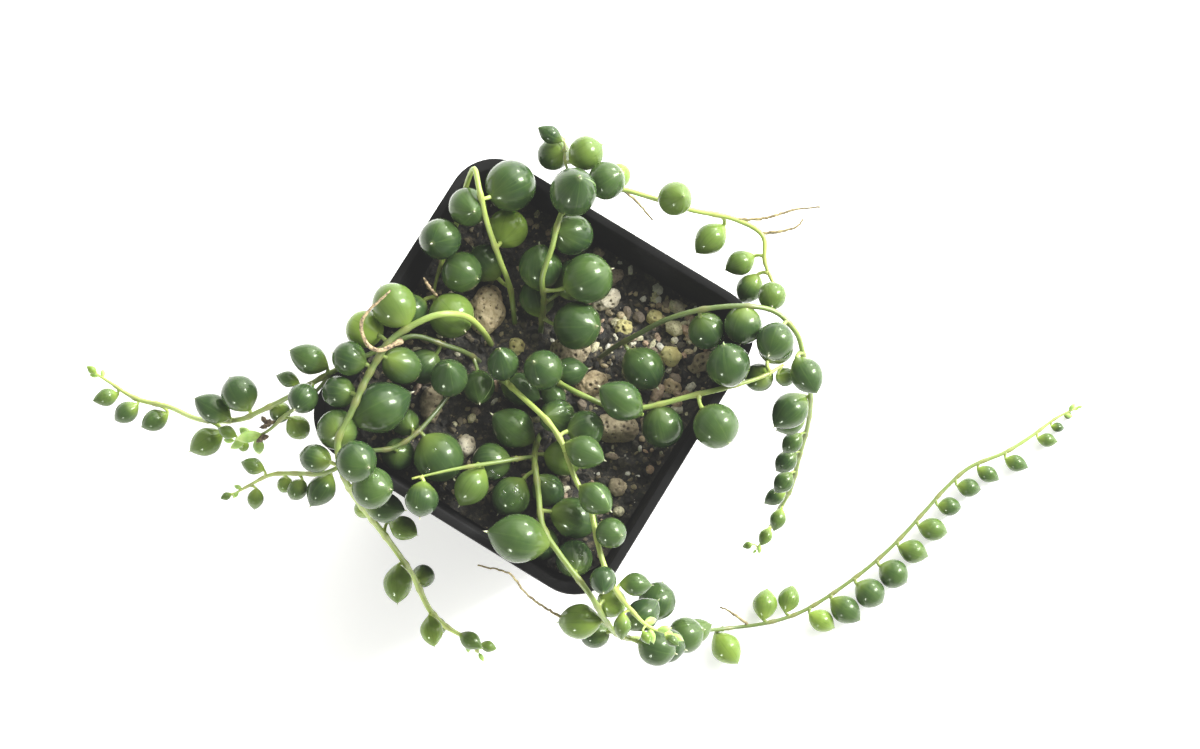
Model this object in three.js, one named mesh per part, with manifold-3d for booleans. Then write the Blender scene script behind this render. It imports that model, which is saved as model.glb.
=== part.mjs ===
// A string of pearls, a trailing succulent, growing in a small square nursery pot.
// Millimetres, +Z up. The origin is the middle of the pot's underside.
// +X and +Y point out through two neighbouring sides of the pot.
import * as THREE from "three";
import { mergeVertices } from "three/addons/utils/BufferGeometryUtils.js";
import Module from "manifold-3d";

const wasm = await Module();
wasm.setup();

// Pot: a thin tapered square cup with round corners and a collar at its rim.
const POT_HEIGHT = 62;
const RIM_ACROSS = 65;
const BODY_TOP_ACROSS = 63.4;
const BASE_ACROSS = 46;
const CORNER_RADIUS = 9;
const CORNER_STEPS = 4;
const WALL = 0.9;
const POT_FLOOR = 1.2;
const COLLAR_HEIGHT = 3.5;
const DRAIN_RADIUS = 3;
const DRAIN_PLACE = 14;
const DRAIN_SIDES = 10;

// Soil: its level at the middle, its fall towards +Y and its lumps.
const SOIL_LEVEL = 52.3;
const SOIL_FALL = 0.06;
const SOIL_LUMP = 0.55;
const SOIL_CELLS = 13;

// Stones: the least that a corner swells, how much more it may, and how far a stone stands up.
const STONE_LEAST_SWELL = 0.88;
const STONE_LUMP = 0.2;
const STONE_RISE = 0.1;

// Room left between pieces that touch or stand in each other's holes.
const GAP = 0.35;
const STONE_ROOM = 0.45;

// Strands: stem radii, the sides of a stem, and the step along it.
const STEM_RADIUS = 0.7;
const SHOOT_RADIUS = 0.5;
const ROOT_RADIUS = 0.3;
const STEM_SIDES = 5;
const STEM_STEP = 3.4;
const ROOT_SIDES = 4;

// The hole that a stem stands in: past the stem's end, up past the soil, and wider than the stem.
const HOLE_DEPTH = 0.6;
const HOLE_LENGTH = 15;
const HOLE_ROOM = 0.9;
const HOLE_SIDES = 6;

// Pearls: the stalk that a pearl hangs by, its pointed tip, and its few sides.
const PETIOLE_RADIUS = 0.42;
const PETIOLE = 0.6;
const LONGEST_PETIOLE = 3.6;
const TIP = 0.16;
const SMALL_PEARL = 5.7;
const TINY_PEARL = 2.6;
const REST_HEIGHT = 0.25;

// Settling: how pearls are moved clear of each other and of all that is near.
// Each share is how much of an overlap one round takes away.
const SETTLE_ROUNDS = 120;
const PULL_ROUNDS = 70;
const PULL_HOME = 0.04;
const CLEAR_OF_OTHERS = 0.75;
const CLEAR_OF_OWN = 0.15;
const SINK_IN_OWN_STEM = 0.3;
const CLEAR_OF_WALL = 0.8;
const CLEAR_OF_COLLAR = 2.2;
const SAMPLE_STEP = 1.5;
const PEARL_SHARE = 0.4;
const STEM_SHARE = 0.5;
const WALL_SHARE = 0.7;

const COLOURS = {
  pot: 0x1d1e20,
  soil: 0x2a2119,
  stone: 0xb79c7c,
  pale: 0xd8cfbb,
  strand: 0x4f8f2f,
};

// Each strand is a stem through hand-chosen points, with runs of pearls along it.
// A run says where it starts and ends along the stem, how far across each pearl is,
// and on which side each sits: 0 above the stem, 90 to the right as it grows, 180 below.
const STRANDS = [
  {
    name: "strand_top_left",
    route: [
      [-8.5, 6.5, 43], [-9, 7, 51], [-13, 12, 58], [-17, 15, 63], [-22, 19, 68],
      [-26, 23, 71], [-29, 26, 70], [-29.5, 24, 66], [-28.5, 20, 62.5], [-27.5, 15, 60],
      [-26.5, 9, 58.5], [-25, 4, 57.5], [-23, 1.5, 56],
    ],
    runs: [
      { from: 17, to: 38, across: [7.3, 7.7, 9.6], sides: [-132, 144, 128], petiole: 1.5 },
      { from: 54, to: 73, across: [7.7, 7.9, 7.7, 8.8], sides: [-20, -20, -42, -45] },
      { from: 73, to: 73, across: [6.4], sides: [50], petiole: 0.9 },
    ],
  },
  {
    name: "strand_top",
    route: [
      [-4, 7.5, 43], [-4, 8, 51], [-6, 13, 60], [-8, 16, 65], [-9, 21, 68], [-11, 28, 68],
      [-10, 32, 66.5], [-8, 36, 64.5], [-5, 38, 64], [2, 40, 64], [9, 42, 63], [17, 45, 62],
      [23, 45, 62], [26, 41, 61], [30, 38, 60], [32, 36, 58],
    ],
    runs: [
      { from: 13, to: 21, across: [9, 8.4, 8, 9.6], sides: [78, -150, -165, 104], petiole: 1.6 },
      { from: 35, to: 51, across: [8.1, 9.1, 7.1, 5], sides: [148, 0, 0, -130] },
      { from: 61.5, to: 70.5, across: [6.8, 5.9], sides: [0, 117], petiole: 1.2 },
      { from: 85.5, to: 91, across: [4.9, 5.3, 5.4], sides: [115, 125, 18], petiole: 1.6 },
      { from: 14.2, to: 14.2, across: [7], sides: [-127] },
    ],
    shoots: [
      {
        route: [[-11, 31, 67], [-13, 34, 67], [-16, 37, 66.5], [-18, 40, 66], [-20, 41, 65]],
        runs: [{ from: 8, to: 13, across: [6.6, 6.5, 3.6], sides: [77, -150, -35] }],
      },
    ],
    roots: [
      [[-5, 38, 64], [-3, 38.5, 62.5], [0, 38, 61], [3.5, 37, 60]],
      [[17, 45, 62], [21, 47.5, 62.5], [26, 52.5, 63.5], [29.5, 55, 64]],
      [[22.5, 45.2, 62], [25, 47, 62.5], [27.5, 49.5, 63], [28, 51.5, 63]],
    ],
  },
  {
    name: "strand_right_loop",
    route: [
      [7.5, 9.5, 43], [8, 10, 51], [10, 13, 57], [13, 17, 62], [16, 21, 66], [21, 26, 68],
      [28, 31, 68], [33, 33, 66], [38, 32, 64], [41, 30, 60], [46, 26, 51], [49, 22, 40],
      [51, 17, 30], [53, 12, 21], [53.5, 8, 13], [54, 2, 6], [54, -1, 3],
    ],
    runs: [
      { from: 18, to: 18, across: [8.3], sides: [106], petiole: 1.4 },
      { from: 36, to: 62, across: [6.8, 7.1, 7.2, 6.4], sides: [138, 139, 71, 18], petiole: 1.2 },
      {
        from: 75,
        to: 129,
        across: [6.9, 5.1, 4.2, 4.4, 4.1, 3.7, 3.5, 2.9, 1.7],
        sides: [68, 71, 45, 47, 41, 47, -9, 1, 75],
      },
    ],
  },
  {
    name: "strand_right_low",
    route: [
      [-2.5, 1, 43], [-2, 1, 51], [1, 1, 57], [4, 1, 60], [10, 1, 64], [16, 2, 64],
      [21, 5, 64], [27, 11, 64.5], [33, 17, 65], [37, 22, 63], [39, 26, 61],
    ],
    runs: [
      { from: 15, to: 20, across: [4.9, 5.7, 7.6], sides: [149, -130, 2], petiole: 1.4 },
      { from: 34, to: 56, across: [7.7, 7.9, 8.4, 8.2], sides: [-8, 120, 106, -64] },
      { from: 62, to: 67, across: [6.8, 5.7, 3.8], sides: [-106, -175, 151] },
    ],
  },
  {
    name: "strand_left_arch",
    stem: 0.8,
    route: [
      [-11, 1.5, 43], [-11, 1.5, 51], [-13, 2, 60], [-16, 2, 66], [-19, 0, 70], [-21, -2, 70.5],
      [-24, -7, 70.5], [-25, -10, 70.5], [-25, -18, 70], [-24, -25, 70], [-23.5, -30, 69.5],
      [-21.5, -33, 68.5], [-19, -35.5, 66], [-17, -37, 60], [-14, -38.5, 50], [-8, -41, 40],
      [-2, -44, 31], [4, -48, 24], [8, -49, 20], [13, -49, 17], [16, -50, 15],
    ],
    runs: [
      { from: 37.5, to: 37.5, across: [8.3], sides: [95], petiole: 0 },
      {
        from: 42,
        to: 54,
        across: [7.1, 7.5, 6.5, 9.9, 6.2],
        sides: [123, -166, 125, -149, 133],
        petiole: 2.2,
      },
      { from: 61, to: 73, across: [7.5, 7.5, 5.6, 7.7], sides: [159, -37, 153, -80], petiole: 1.2 },
      { from: 83, to: 95.5, across: [6.1, 3.9, 4.9], sides: [-53, 178, -75] },
      { from: 106, to: 121.5, across: [6.1, 4.8, 4.8], sides: [46, -157, 36] },
      { from: 126, to: 135, across: [4.1, 3.9, 2.5], sides: [159, -2, -60] },
    ],
  },
  {
    name: "strand_left_low",
    route: [
      [-10.5, -2.5, 43], [-11, -2.5, 51], [-14, -3, 57], [-17, -4, 60], [-23, -6, 62.5],
      [-26, -10, 63], [-29, -15, 64], [-32, -20, 65], [-37, -28, 61.5], [-41, -33, 57],
      [-44, -36, 53], [-52, -40, 46], [-60, -41, 39], [-68, -43, 33], [-76, -43, 28],
      [-80, -43, 26],
    ],
    runs: [
      { from: 12, to: 21, across: [6.5, 6.8], sides: [-76, -125], petiole: 2.2 },
      { from: 45, to: 51, across: [6, 5.6, 3.2], sides: [64, -37, 75] },
      { from: 58, to: 76, across: [4.2, 6.8, 5.9, 5.6], sides: [-147, 69, 31, -102] },
      { from: 93, to: 112, across: [4.6, 4.6, 3.8, 1.7], sides: [-107, -85, -80, 7], petiole: 0.3 },
    ],
    shoots: [
      {
        route: [
          [-32, -20, 65], [-32.5, -24, 64.5], [-34, -28, 63], [-36, -31.5, 60], [-37.5, -35, 57],
          [-40, -38, 54], [-43, -40, 51],
        ],
        runs: [
          { from: 15, to: 15, across: [4.8], sides: [-143] },
          { from: 29, to: 33, across: [2.7, 2.3], sides: [39, -158] },
        ],
      },
    ],
  },
  {
    name: "strand_mid_left",
    stem: 0.6,
    route: [
      [-13, -6.5, 43], [-13, -7, 51], [-12, -10, 58], [-12, -16, 61], [-13, -22, 62.5],
      [-15, -26, 63], [-18, -28.5, 63.7], [-20.5, -31.5, 64], [-22, -35, 63.5], [-24, -37, 62],
      [-28, -39, 58.5], [-33, -42, 55], [-36, -46, 52], [-38, -49, 50],
    ],
    runs: [
      { from: 18, to: 28, across: [7.3, 9.4], sides: [10, -118], petiole: 1 },
      {
        from: 51,
        to: 71,
        across: [5.5, 4, 3.2, 3.4, 3.3, 1.6],
        sides: [-140, -116, -137, 64, -112, 0],
      },
      { from: 30.6, to: 34.5, across: [5.7, 6.4], sides: [151, -150], petiole: 3 },
    ],
  },
  {
    name: "strand_front",
    route: [
      [-6, -4, 43], [-6, -4, 51], [-4, -4, 59], [0, -5, 63], [8, -7, 66], [12, -9, 66],
      [17, -13, 65.5], [22, -16, 65], [26, -20, 65], [29, -23, 65.3], [33, -26, 64.5],
      [38, -28, 61.5], [43, -29, 59], [47, -28, 57.5],
    ],
    runs: [
      { from: 14, to: 19, across: [6.5, 6.2], sides: [-162, -22], petiole: 1.4 },
      { from: 30, to: 38, across: [6.8, 6.9, 6.3], sides: [-149, -116, -40], petiole: 1 },
      { from: 47, to: 61, across: [6.2, 5.7, 5.1], sides: [-19, -40, 18] },
      { from: 66, to: 79, across: [4.6, 3.5, 1.9, 2.1], sides: [-92, 90, 63, 30] },
    ],
  },
  {
    name: "strand_long",
    route: [
      [5.5, -6.5, 43], [6, -8, 51], [8, -13, 58], [12, -18, 62], [17, -24, 65], [22, -26.5, 66],
      [31, -30, 64.5], [35, -32, 59], [39, -33, 49], [43, -31, 37], [48, -28, 23], [52.5, -22.5, 10],
      [58, -18, 4], [63.5, -13.5, 3.8], [68, -8.5, 3.5], [71, -3.5, 3.5], [74, 3, 3.5],
      [76.5, 9.5, 3.5], [78.5, 16.5, 3.5], [80, 24, 3.4], [81.5, 31.5, 3.2], [83.5, 37.5, 3],
      [88.5, 44.5, 2.8], [91.5, 50.5, 2.5], [94, 56.5, 2.2], [96.5, 60.5, 1.9],
    ],
    runs: [
      { from: 14, to: 23, across: [7.8, 7, 7.5, 6.4], sides: [72, -107, 142, -176], petiole: 1.2 },
      { from: 30, to: 34, across: [8.2, 9.3], sides: [-151, 123], petiole: 1.8 },
      { from: 45, to: 58, across: [7.1, 5.6, 6.9], sides: [170, -147, 133], petiole: 1.2 },
      { from: 69, to: 72, across: [6.3, 7.3], sides: [-59, 15], petiole: 1.8 },
      { from: 83, to: 83, across: [7.3], sides: [-80], petiole: 3.5 },
      { from: 92, to: 101, across: [7.2, 5.1], sides: [-11, 0] },
      { from: 118, to: 118, across: [6.3], sides: [115], lying: true },
      { from: 127.5, to: 142, across: [5.3, 4.8, 4.8, 5.9], sides: [-103, -107, 104, 98], lying: true },
      {
        from: 148,
        to: 191,
        across: [6.3, 6.3, 5.3, 5.1, 4.2, 4.2, 3.8, 3.8],
        sides: [93, 93, 103, 100, 107, 103, 117, 108],
        lying: true,
      },
      { from: 199, to: 206.5, across: [3.2, 2.3, 1.7], sides: [117, 133, 168], lying: true },
      { from: 33.8, to: 33.8, across: [6.4], sides: [177], petiole: 3 },
      { from: 64.7, to: 64.7, across: [5.7], sides: [144] },
      { from: 82, to: 82, across: [6.7], sides: [10], petiole: 0.8 },
    ],
    shoots: [
      {
        route: [[8, -13, 58], [6, -15, 60.5], [3, -18, 63], [-2, -22.5, 64.5], [-8.5, -29, 66]],
        runs: [{ from: 4, to: 24, across: [7.2, 6.4, 6.1], sides: [177, -131, -95] }],
      },
    ],
    roots: [
      [[60.4, -15.7, 3.8], [58, -15.4, 3.6], [55.7, -15.2, 2.8], [53.8, -15.4, 1.8]],
      [
        [35.1, -32.1, 58], [34.4, -33.6, 54.5], [33, -35.2, 52.2], [29.9, -35.9, 52.4],
        [26.1, -36, 55], [22.4, -36, 58.5], [19.3, -35.5, 61.5], [16.8, -34.4, 63.4],
        [14.7, -34.6, 64], [12.4, -35.3, 64], [10.2, -36.1, 63.6],
      ],
    ],
  },
];

// Pumice and grit half sunk in the soil: place, size along x, y and z, turn, and colour.
const STONES = [
  { at: [-15.1, 6.5], size: [7, 10, 7], turn: 20, big: true },
  { at: [-6.6, 3.6], size: [3, 3.6, 3], turn: 50 },
  { at: [3.6, 20.6], size: [3.6, 5.6, 4], turn: -25, pale: true },
  { at: [2.6, 8.6], size: [8, 5.4, 5], turn: 35, big: true },
  { at: [9.4, 4.8], size: [4, 6.8, 5], turn: -30, big: true },
  { at: [18.2, 0.2], size: [9, 5.4, 6], turn: 30, big: true },
  { at: [19.6, 17.6], size: [4.4, 3.8, 4], turn: 30 },
  { at: [13, 22.6], size: [3.2, 2.8, 3], turn: 10 },
  { at: [9, 17.8], size: [3.4, 3, 3], turn: 60 },
  { at: [15.4, 26.6], size: [2.8, 2.4, 2.6], turn: 0, pale: true },
  { at: [20, 25.6], size: [3, 2.6, 3], turn: 40, pale: true },
  { at: [23, 12.8], size: [3.6, 3, 3.4], turn: 15 },
  { at: [25.4, 19.8], size: [3.2, 6, 4], turn: -20, pale: true },
  { at: [24.1, -9.4], size: [3.4, 3.6, 3.4], turn: 45 },
  { at: [-4.6, -18], size: [3.4, 4.8, 4], turn: 15, pale: true },
  { at: [-14.5, -14.5], size: [3.8, 7.4, 4.4], turn: 25, big: true },
];

// One number after another from 0 to 1, always the same for the same seed.
function seededDraw(seed) {
  const turns = 2147483647;
  let state = seed * 48271 % turns;
  return function draw() {
    state = state * 16807 % turns;
    return state / turns;
  };
}

// The closed solid of a three.js geometry, with shared vertices merged.
function solidOf(geometry) {
  geometry.deleteAttribute("normal");
  geometry.deleteAttribute("uv");
  const merged = mergeVertices(geometry, 1e-4);
  const corners = merged.index.array;
  const triangles = [];
  for (let i = 0; i < corners.length; i += 3) {
    const [a, b, c] = [corners[i], corners[i + 1], corners[i + 2]];
    if (a !== b && b !== c && c !== a) {
      triangles.push(a, b, c);
    }
  }
  return new wasm.Manifold(new wasm.Mesh({
    numProp: 3,
    vertProperties: new Float32Array(merged.attributes.position.array),
    triVerts: new Uint32Array(triangles),
  }));
}

function namedMesh(name, solid, colour, roughness) {
  const { vertProperties, triVerts } = solid.getMesh();
  const geometry = new THREE.BufferGeometry();
  geometry.setAttribute("position", new THREE.BufferAttribute(vertProperties, 3));
  geometry.setIndex(new THREE.BufferAttribute(triVerts, 1));
  geometry.computeVertexNormals();
  const material = new THREE.MeshStandardMaterial({ color: colour, roughness, metalness: 0 });
  const mesh = new THREE.Mesh(geometry, material);
  mesh.name = name;
  return mesh;
}

function roundedSquare(across) {
  const radius = CORNER_RADIUS * across / RIM_ACROSS;
  const middle = across / 2 - radius;
  const quarter = Math.PI / 2;
  const shape = new THREE.Shape();
  shape.absarc(middle, middle, radius, 0, quarter);
  shape.absarc(-middle, middle, radius, quarter, 2 * quarter);
  shape.absarc(-middle, -middle, radius, 2 * quarter, 3 * quarter);
  shape.absarc(middle, -middle, radius, 3 * quarter, 4 * quarter);
  shape.closePath();
  return shape;
}

// A round-cornered square block from one height to another, wider or narrower at its top.
function taperedBlock(bottomAcross, topAcross, low, high) {
  const depth = high - low;
  const options = { depth, bevelEnabled: false, curveSegments: CORNER_STEPS };
  const block = new THREE.ExtrudeGeometry(roundedSquare(topAcross), options);
  const place = block.attributes.position;
  for (let i = 0; i < place.count; i += 1) {
    const rise = place.getZ(i);
    const scale = (bottomAcross + (topAcross - bottomAcross) * rise / depth) / topAcross;
    place.setXYZ(i, place.getX(i) * scale, place.getY(i) * scale, low + rise);
  }
  return solidOf(block);
}

// How far across the pot's body is outside, at a height.
function bodyAcross(height) {
  return BASE_ACROSS + (BODY_TOP_ACROSS - BASE_ACROSS) * height / POT_HEIGHT;
}

function insideOfPot(room, low, high) {
  const inset = 2 * (WALL + room);
  return taperedBlock(bodyAcross(low) - inset, bodyAcross(high) - inset, low, high);
}

function makePot() {
  const body = taperedBlock(BASE_ACROSS, BODY_TOP_ACROSS, 0, POT_HEIGHT);
  const collar = taperedBlock(RIM_ACROSS, RIM_ACROSS, POT_HEIGHT - COLLAR_HEIGHT, POT_HEIGHT);
  let pot = body.add(collar).subtract(insideOfPot(0, POT_FLOOR, POT_HEIGHT + 1));
  for (const [sideX, sideY] of [[1, 1], [-1, 1], [-1, -1], [1, -1]]) {
    const drain = new THREE.CylinderGeometry(DRAIN_RADIUS, DRAIN_RADIUS, 4 * POT_FLOOR, DRAIN_SIDES);
    drain.rotateX(Math.PI / 2);
    drain.translate(sideX * DRAIN_PLACE, sideY * DRAIN_PLACE, 0);
    pot = pot.subtract(solidOf(drain));
  }
  return pot;
}

// The soil's top at a place: level, lower towards +Y, with a few low lumps.
function soilHeight(x, y) {
  const broad = Math.sin(0.31 * x + 1.3) * Math.cos(0.27 * y - 0.4);
  const narrow = Math.sin(0.83 * x - 0.59 * y) * Math.cos(0.71 * y + 0.47 * x);
  return SOIL_LEVEL - SOIL_FALL * y + SOIL_LUMP * (broad + narrow);
}

// A stone is a lumpy many-sided form, squeezed to its size and turned.
function stoneGeometry(stone, seed, growth) {
  const draw = seededDraw(seed);
  const form = stone.big ? new THREE.IcosahedronGeometry(0.5, 1) : new THREE.DodecahedronGeometry(0.5, 0);
  form.deleteAttribute("normal");
  form.deleteAttribute("uv");
  const geometry = mergeVertices(form, 1e-4);
  const place = geometry.attributes.position;
  for (let i = 0; i < place.count; i += 1) {
    const swell = STONE_LEAST_SWELL + STONE_LUMP * draw();
    place.setXYZ(i, place.getX(i) * swell, place.getY(i) * swell, place.getZ(i) * swell);
  }
  const [x, y, z] = stone.size;
  geometry.scale(x + 2 * growth, y + 2 * growth, z + 2 * growth);
  geometry.rotateZ(THREE.MathUtils.degToRad(stone.turn));
  geometry.translate(stone.at[0], stone.at[1], stoneHeight(stone));
  return geometry;
}

// A stone's middle stands a little above the soil.
function stoneHeight(stone) {
  return soilHeight(stone.at[0], stone.at[1]) + STONE_RISE * stone.size[2];
}

// A stem, shoot or root: a closed tube of few sides along a smooth curve.
function tube(curve, radius, sides, step) {
  const outline = new THREE.Shape();
  for (let i = 0; i < sides; i += 1) {
    const angle = i * 2 * Math.PI / sides;
    const [x, y] = [radius * Math.cos(angle), radius * Math.sin(angle)];
    if (i === 0) {
      outline.moveTo(x, y);
    } else {
      outline.lineTo(x, y);
    }
  }
  outline.closePath();
  const steps = Math.max(2, Math.round(curve.getLength() / step));
  return solidOf(new THREE.ExtrudeGeometry(outline, { steps, extrudePath: curve, bevelEnabled: false }));
}

function curveThrough(route) {
  const points = route.map(([x, y, z]) => new THREE.Vector3(x, y, z));
  return new THREE.CatmullRomCurve3(points, false, "centripetal");
}

// The direction away from a stem on one side of it, the side given in degrees.
function sideDirection(tangent, side) {
  const up = new THREE.Vector3(0, 0, 1).addScaledVector(tangent, -tangent.z).normalize();
  const right = new THREE.Vector3().crossVectors(tangent, up);
  const angle = THREE.MathUtils.degToRad(side);
  return up.multiplyScalar(Math.cos(angle)).addScaledVector(right, Math.sin(angle));
}

function pearlsOfRun(run, curve, stem, strand) {
  const length = curve.getLength();
  const last = Math.max(1, run.across.length - 1);
  return run.across.map((across, i) => {
    const along = run.from + (run.to - run.from) * i / last;
    const portion = Math.min(1, along / length);
    const root = curve.getPointAt(portion);
    const away = sideDirection(curve.getTangentAt(portion), run.sides[i]);
    const radius = across / 2;
    const petiole = run.petiole ?? PETIOLE;
    const middle = root.clone().addScaledVector(away, radius + stem + petiole);
    if (run.lying) {
      middle.z = radius + REST_HEIGHT;
    }
    return { strand, root, radius, stem, home: middle.clone(), middle };
  });
}

// Every stem and shoot of the plant, with its curve, its radius and its strand.
const branches = [];
STRANDS.forEach((strand, index) => {
  const stem = strand.stem ?? STEM_RADIUS;
  branches.push({ strand: index, stem, curve: curveThrough(strand.route), runs: strand.runs });
  for (const shoot of strand.shoots ?? []) {
    const curve = curveThrough(shoot.route);
    branches.push({ strand: index, stem: SHOOT_RADIUS, curve, runs: shoot.runs });
  }
});

const pearls = branches.flatMap(({ strand, stem, curve, runs }) =>
  runs.flatMap((run) => pearlsOfRun(run, curve, stem, strand)));

// Places along every stem that pearls keep clear of.
const stemPlaces = branches.flatMap(({ strand, stem, curve }) => {
  const count = Math.ceil(curve.getLength() / SAMPLE_STEP);
  return curve.getSpacedPoints(count).map((place) => ({ strand, radius: stem, place }));
});

// The wall's nearest place to a point: on its middle line, no higher than the rim.
function nearestOnWall(point) {
  const height = Math.min(point.z, POT_HEIGHT - WALL);
  const across = bodyAcross(height);
  const radius = CORNER_RADIUS * across / RIM_ACROSS;
  const middle = across / 2 - radius;
  const beyondX = Math.abs(point.x) - middle;
  const beyondY = Math.abs(point.y) - middle;
  const [signX, signY] = [Math.sign(point.x) || 1, Math.sign(point.y) || 1];
  const reach = radius - WALL / 2;
  if (beyondX > 0 && beyondY > 0) {
    const far = Math.sqrt(beyondX * beyondX + beyondY * beyondY);
    const [x, y] = [middle + beyondX * reach / far, middle + beyondY * reach / far];
    return new THREE.Vector3(signX * x, signY * y, height);
  }
  if (beyondX > beyondY) {
    return new THREE.Vector3(signX * (middle + reach), point.y, height);
  }
  return new THREE.Vector3(point.x, signY * (middle + reach), height);
}

// How far a round thing has to move to be clear of another round thing.
function pushFrom(middle, other, room) {
  const push = middle.clone().sub(other);
  const apart = push.length();
  if (apart >= room || apart === 0) {
    return null;
  }
  return push.multiplyScalar((room - apart) / apart);
}

function pushOnPearl(pearl, index) {
  const total = new THREE.Vector3();
  const add = (push, share) => {
    if (push) {
      total.addScaledVector(push, share);
    }
  };
  pearls.forEach((other, otherIndex) => {
    if (otherIndex !== index) {
      const clear = other.strand === pearl.strand ? CLEAR_OF_OWN : CLEAR_OF_OTHERS;
      add(pushFrom(pearl.middle, other.middle, pearl.radius + other.radius + clear), PEARL_SHARE);
    }
  });
  for (const { strand, radius, place } of stemPlaces) {
    const clear = strand === pearl.strand ? -SINK_IN_OWN_STEM : CLEAR_OF_OTHERS;
    add(pushFrom(pearl.middle, place, pearl.radius + radius + clear), STEM_SHARE);
  }
  STONES.forEach((stone) => {
    const place = new THREE.Vector3(stone.at[0], stone.at[1], stoneHeight(stone));
    const radius = Math.max(stone.size[0], stone.size[1]) / 2;
    add(pushFrom(pearl.middle, place, pearl.radius + radius + CLEAR_OF_OTHERS), STEM_SHARE);
  });
  const wall = nearestOnWall(pearl.middle);
  const isOutside = Math.max(Math.abs(pearl.middle.x), Math.abs(pearl.middle.y)) > RIM_ACROSS / 2;
  const room = (1 + TIP) * pearl.radius + (isOutside ? CLEAR_OF_COLLAR : CLEAR_OF_WALL);
  add(pushFrom(pearl.middle, wall, room), WALL_SHARE);
  return total;
}

// Soil inside the pot, and the surface that the pot stands on outside it, hold pearls up.
function liftedFromGround(pearl) {
  const { x, y } = pearl.middle;
  const inside = Math.max(Math.abs(x), Math.abs(y)) < BODY_TOP_ACROSS / 2;
  const ground = inside ? soilHeight(x, y) + SOIL_LUMP + GAP : REST_HEIGHT;
  return Math.max(0, ground + pearl.radius - pearl.middle.z);
}

// A pearl stays near enough to its place on the stem for its stalk to reach.
function keepOnStalk(pearl) {
  const reach = pearl.middle.clone().sub(pearl.root);
  const length = reach.length();
  const longest = pearl.radius + pearl.stem + LONGEST_PETIOLE;
  if (length > longest) {
    pearl.middle.copy(pearl.root).addScaledVector(reach, longest / length);
  }
}

for (let round = 0; round < SETTLE_ROUNDS; round += 1) {
  const moves = pearls.map(pushOnPearl);
  pearls.forEach((pearl, index) => {
    pearl.middle.add(moves[index]);
    if (round < PULL_ROUNDS) {
      pearl.middle.addScaledVector(pearl.home.clone().sub(pearl.middle), PULL_HOME);
    }
    keepOnStalk(pearl);
    pearl.middle.z += liftedFromGround(pearl);
  });
}

// A pearl with its stalk: a turned form, from its root in the stem to its pointed tip.
function pearlSolid({ root, middle, radius }) {
  const away = middle.clone().sub(root);
  const reach = away.length();
  const across = 2 * radius;
  let sides = 6;
  let profile = [
    [0, -reach], [PETIOLE_RADIUS, -reach], [0.72 * radius, -0.7 * radius], [1.03 * radius, 0],
    [0.7 * radius, 0.72 * radius], [0, (1 + TIP) * radius],
  ];
  if (across < SMALL_PEARL) {
    sides = 5;
  }
  if (across < TINY_PEARL) {
    sides = 4;
    const stalk = Math.min(PETIOLE_RADIUS, 0.4 * radius);
    profile = [[0, -reach], [stalk, -reach], [radius, 0], [0, (1 + 2 * TIP) * radius]];
  } else if (reach - radius > STEM_RADIUS + 1) {
    profile.splice(2, 0, [1.2 * PETIOLE_RADIUS, -1.04 * radius]);
  }
  const form = new THREE.LatheGeometry(profile.map(([x, y]) => new THREE.Vector2(x, y)), sides);
  const turn = new THREE.Quaternion().setFromUnitVectors(new THREE.Vector3(0, 1, 0), away.normalize());
  form.applyQuaternion(turn);
  form.translate(middle.x, middle.y, middle.z);
  return solidOf(form);
}

// The part of a stem that stands in the soil, as the wider hole that it stands in.
function soilHole(strand) {
  const stem = strand.stem ?? STEM_RADIUS;
  const curve = curveThrough(strand.route);
  const start = curve.getPointAt(0);
  const end = curve.getPointAt(HOLE_LENGTH / curve.getLength());
  const middle = curve.getPointAt(HOLE_LENGTH / 2 / curve.getLength());
  start.z -= HOLE_DEPTH;
  const path = new THREE.CatmullRomCurve3([start, middle, end], false, "centripetal");
  return tube(path, stem + HOLE_ROOM, HOLE_SIDES, HOLE_LENGTH / 3);
}

function makeStrand(strand, index) {
  let solid = null;
  const join = (piece) => {
    solid = solid ? solid.add(piece) : piece;
  };
  for (const branch of branches) {
    if (branch.strand === index) {
      join(tube(branch.curve, branch.stem, STEM_SIDES, STEM_STEP));
    }
  }
  for (const root of strand.roots ?? []) {
    join(tube(curveThrough(root), ROOT_RADIUS, ROOT_SIDES, STEM_STEP));
  }
  for (const pearl of pearls) {
    if (pearl.strand === index) {
      join(pearlSolid(pearl));
    }
  }
  return solid;
}

function makeSoil() {
  const across = bodyAcross(POT_HEIGHT);
  const depth = SOIL_LEVEL;
  const block = new THREE.BoxGeometry(across, across, depth, SOIL_CELLS, SOIL_CELLS, 1);
  block.translate(0, 0, depth / 2);
  const place = block.attributes.position;
  for (let i = 0; i < place.count; i += 1) {
    if (place.getZ(i) > depth / 2) {
      place.setZ(i, soilHeight(place.getX(i), place.getY(i)));
    }
  }
  let soil = solidOf(block).intersect(insideOfPot(GAP, POT_FLOOR + GAP, POT_HEIGHT - 1));
  STONES.forEach((stone, index) => {
    soil = soil.subtract(solidOf(stoneGeometry(stone, index + 1, STONE_ROOM)));
  });
  for (const strand of STRANDS) {
    soil = soil.subtract(soilHole(strand));
  }
  return soil;
}

const plant = new THREE.Group();
plant.add(namedMesh("pot", makePot(), COLOURS.pot, 0.5));
plant.add(namedMesh("soil", makeSoil(), COLOURS.soil, 0.95));
STONES.forEach((stone, index) => {
  const name = `stone_${String(index + 1).padStart(2, "0")}`;
  const solid = solidOf(stoneGeometry(stone, index + 1, 0));
  plant.add(namedMesh(name, solid, stone.pale ? COLOURS.pale : COLOURS.stone, 0.9));
});
STRANDS.forEach((strand, index) => {
  plant.add(namedMesh(strand.name, makeStrand(strand, index), COLOURS.strand, 0.35));
});

export default plant;
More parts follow.
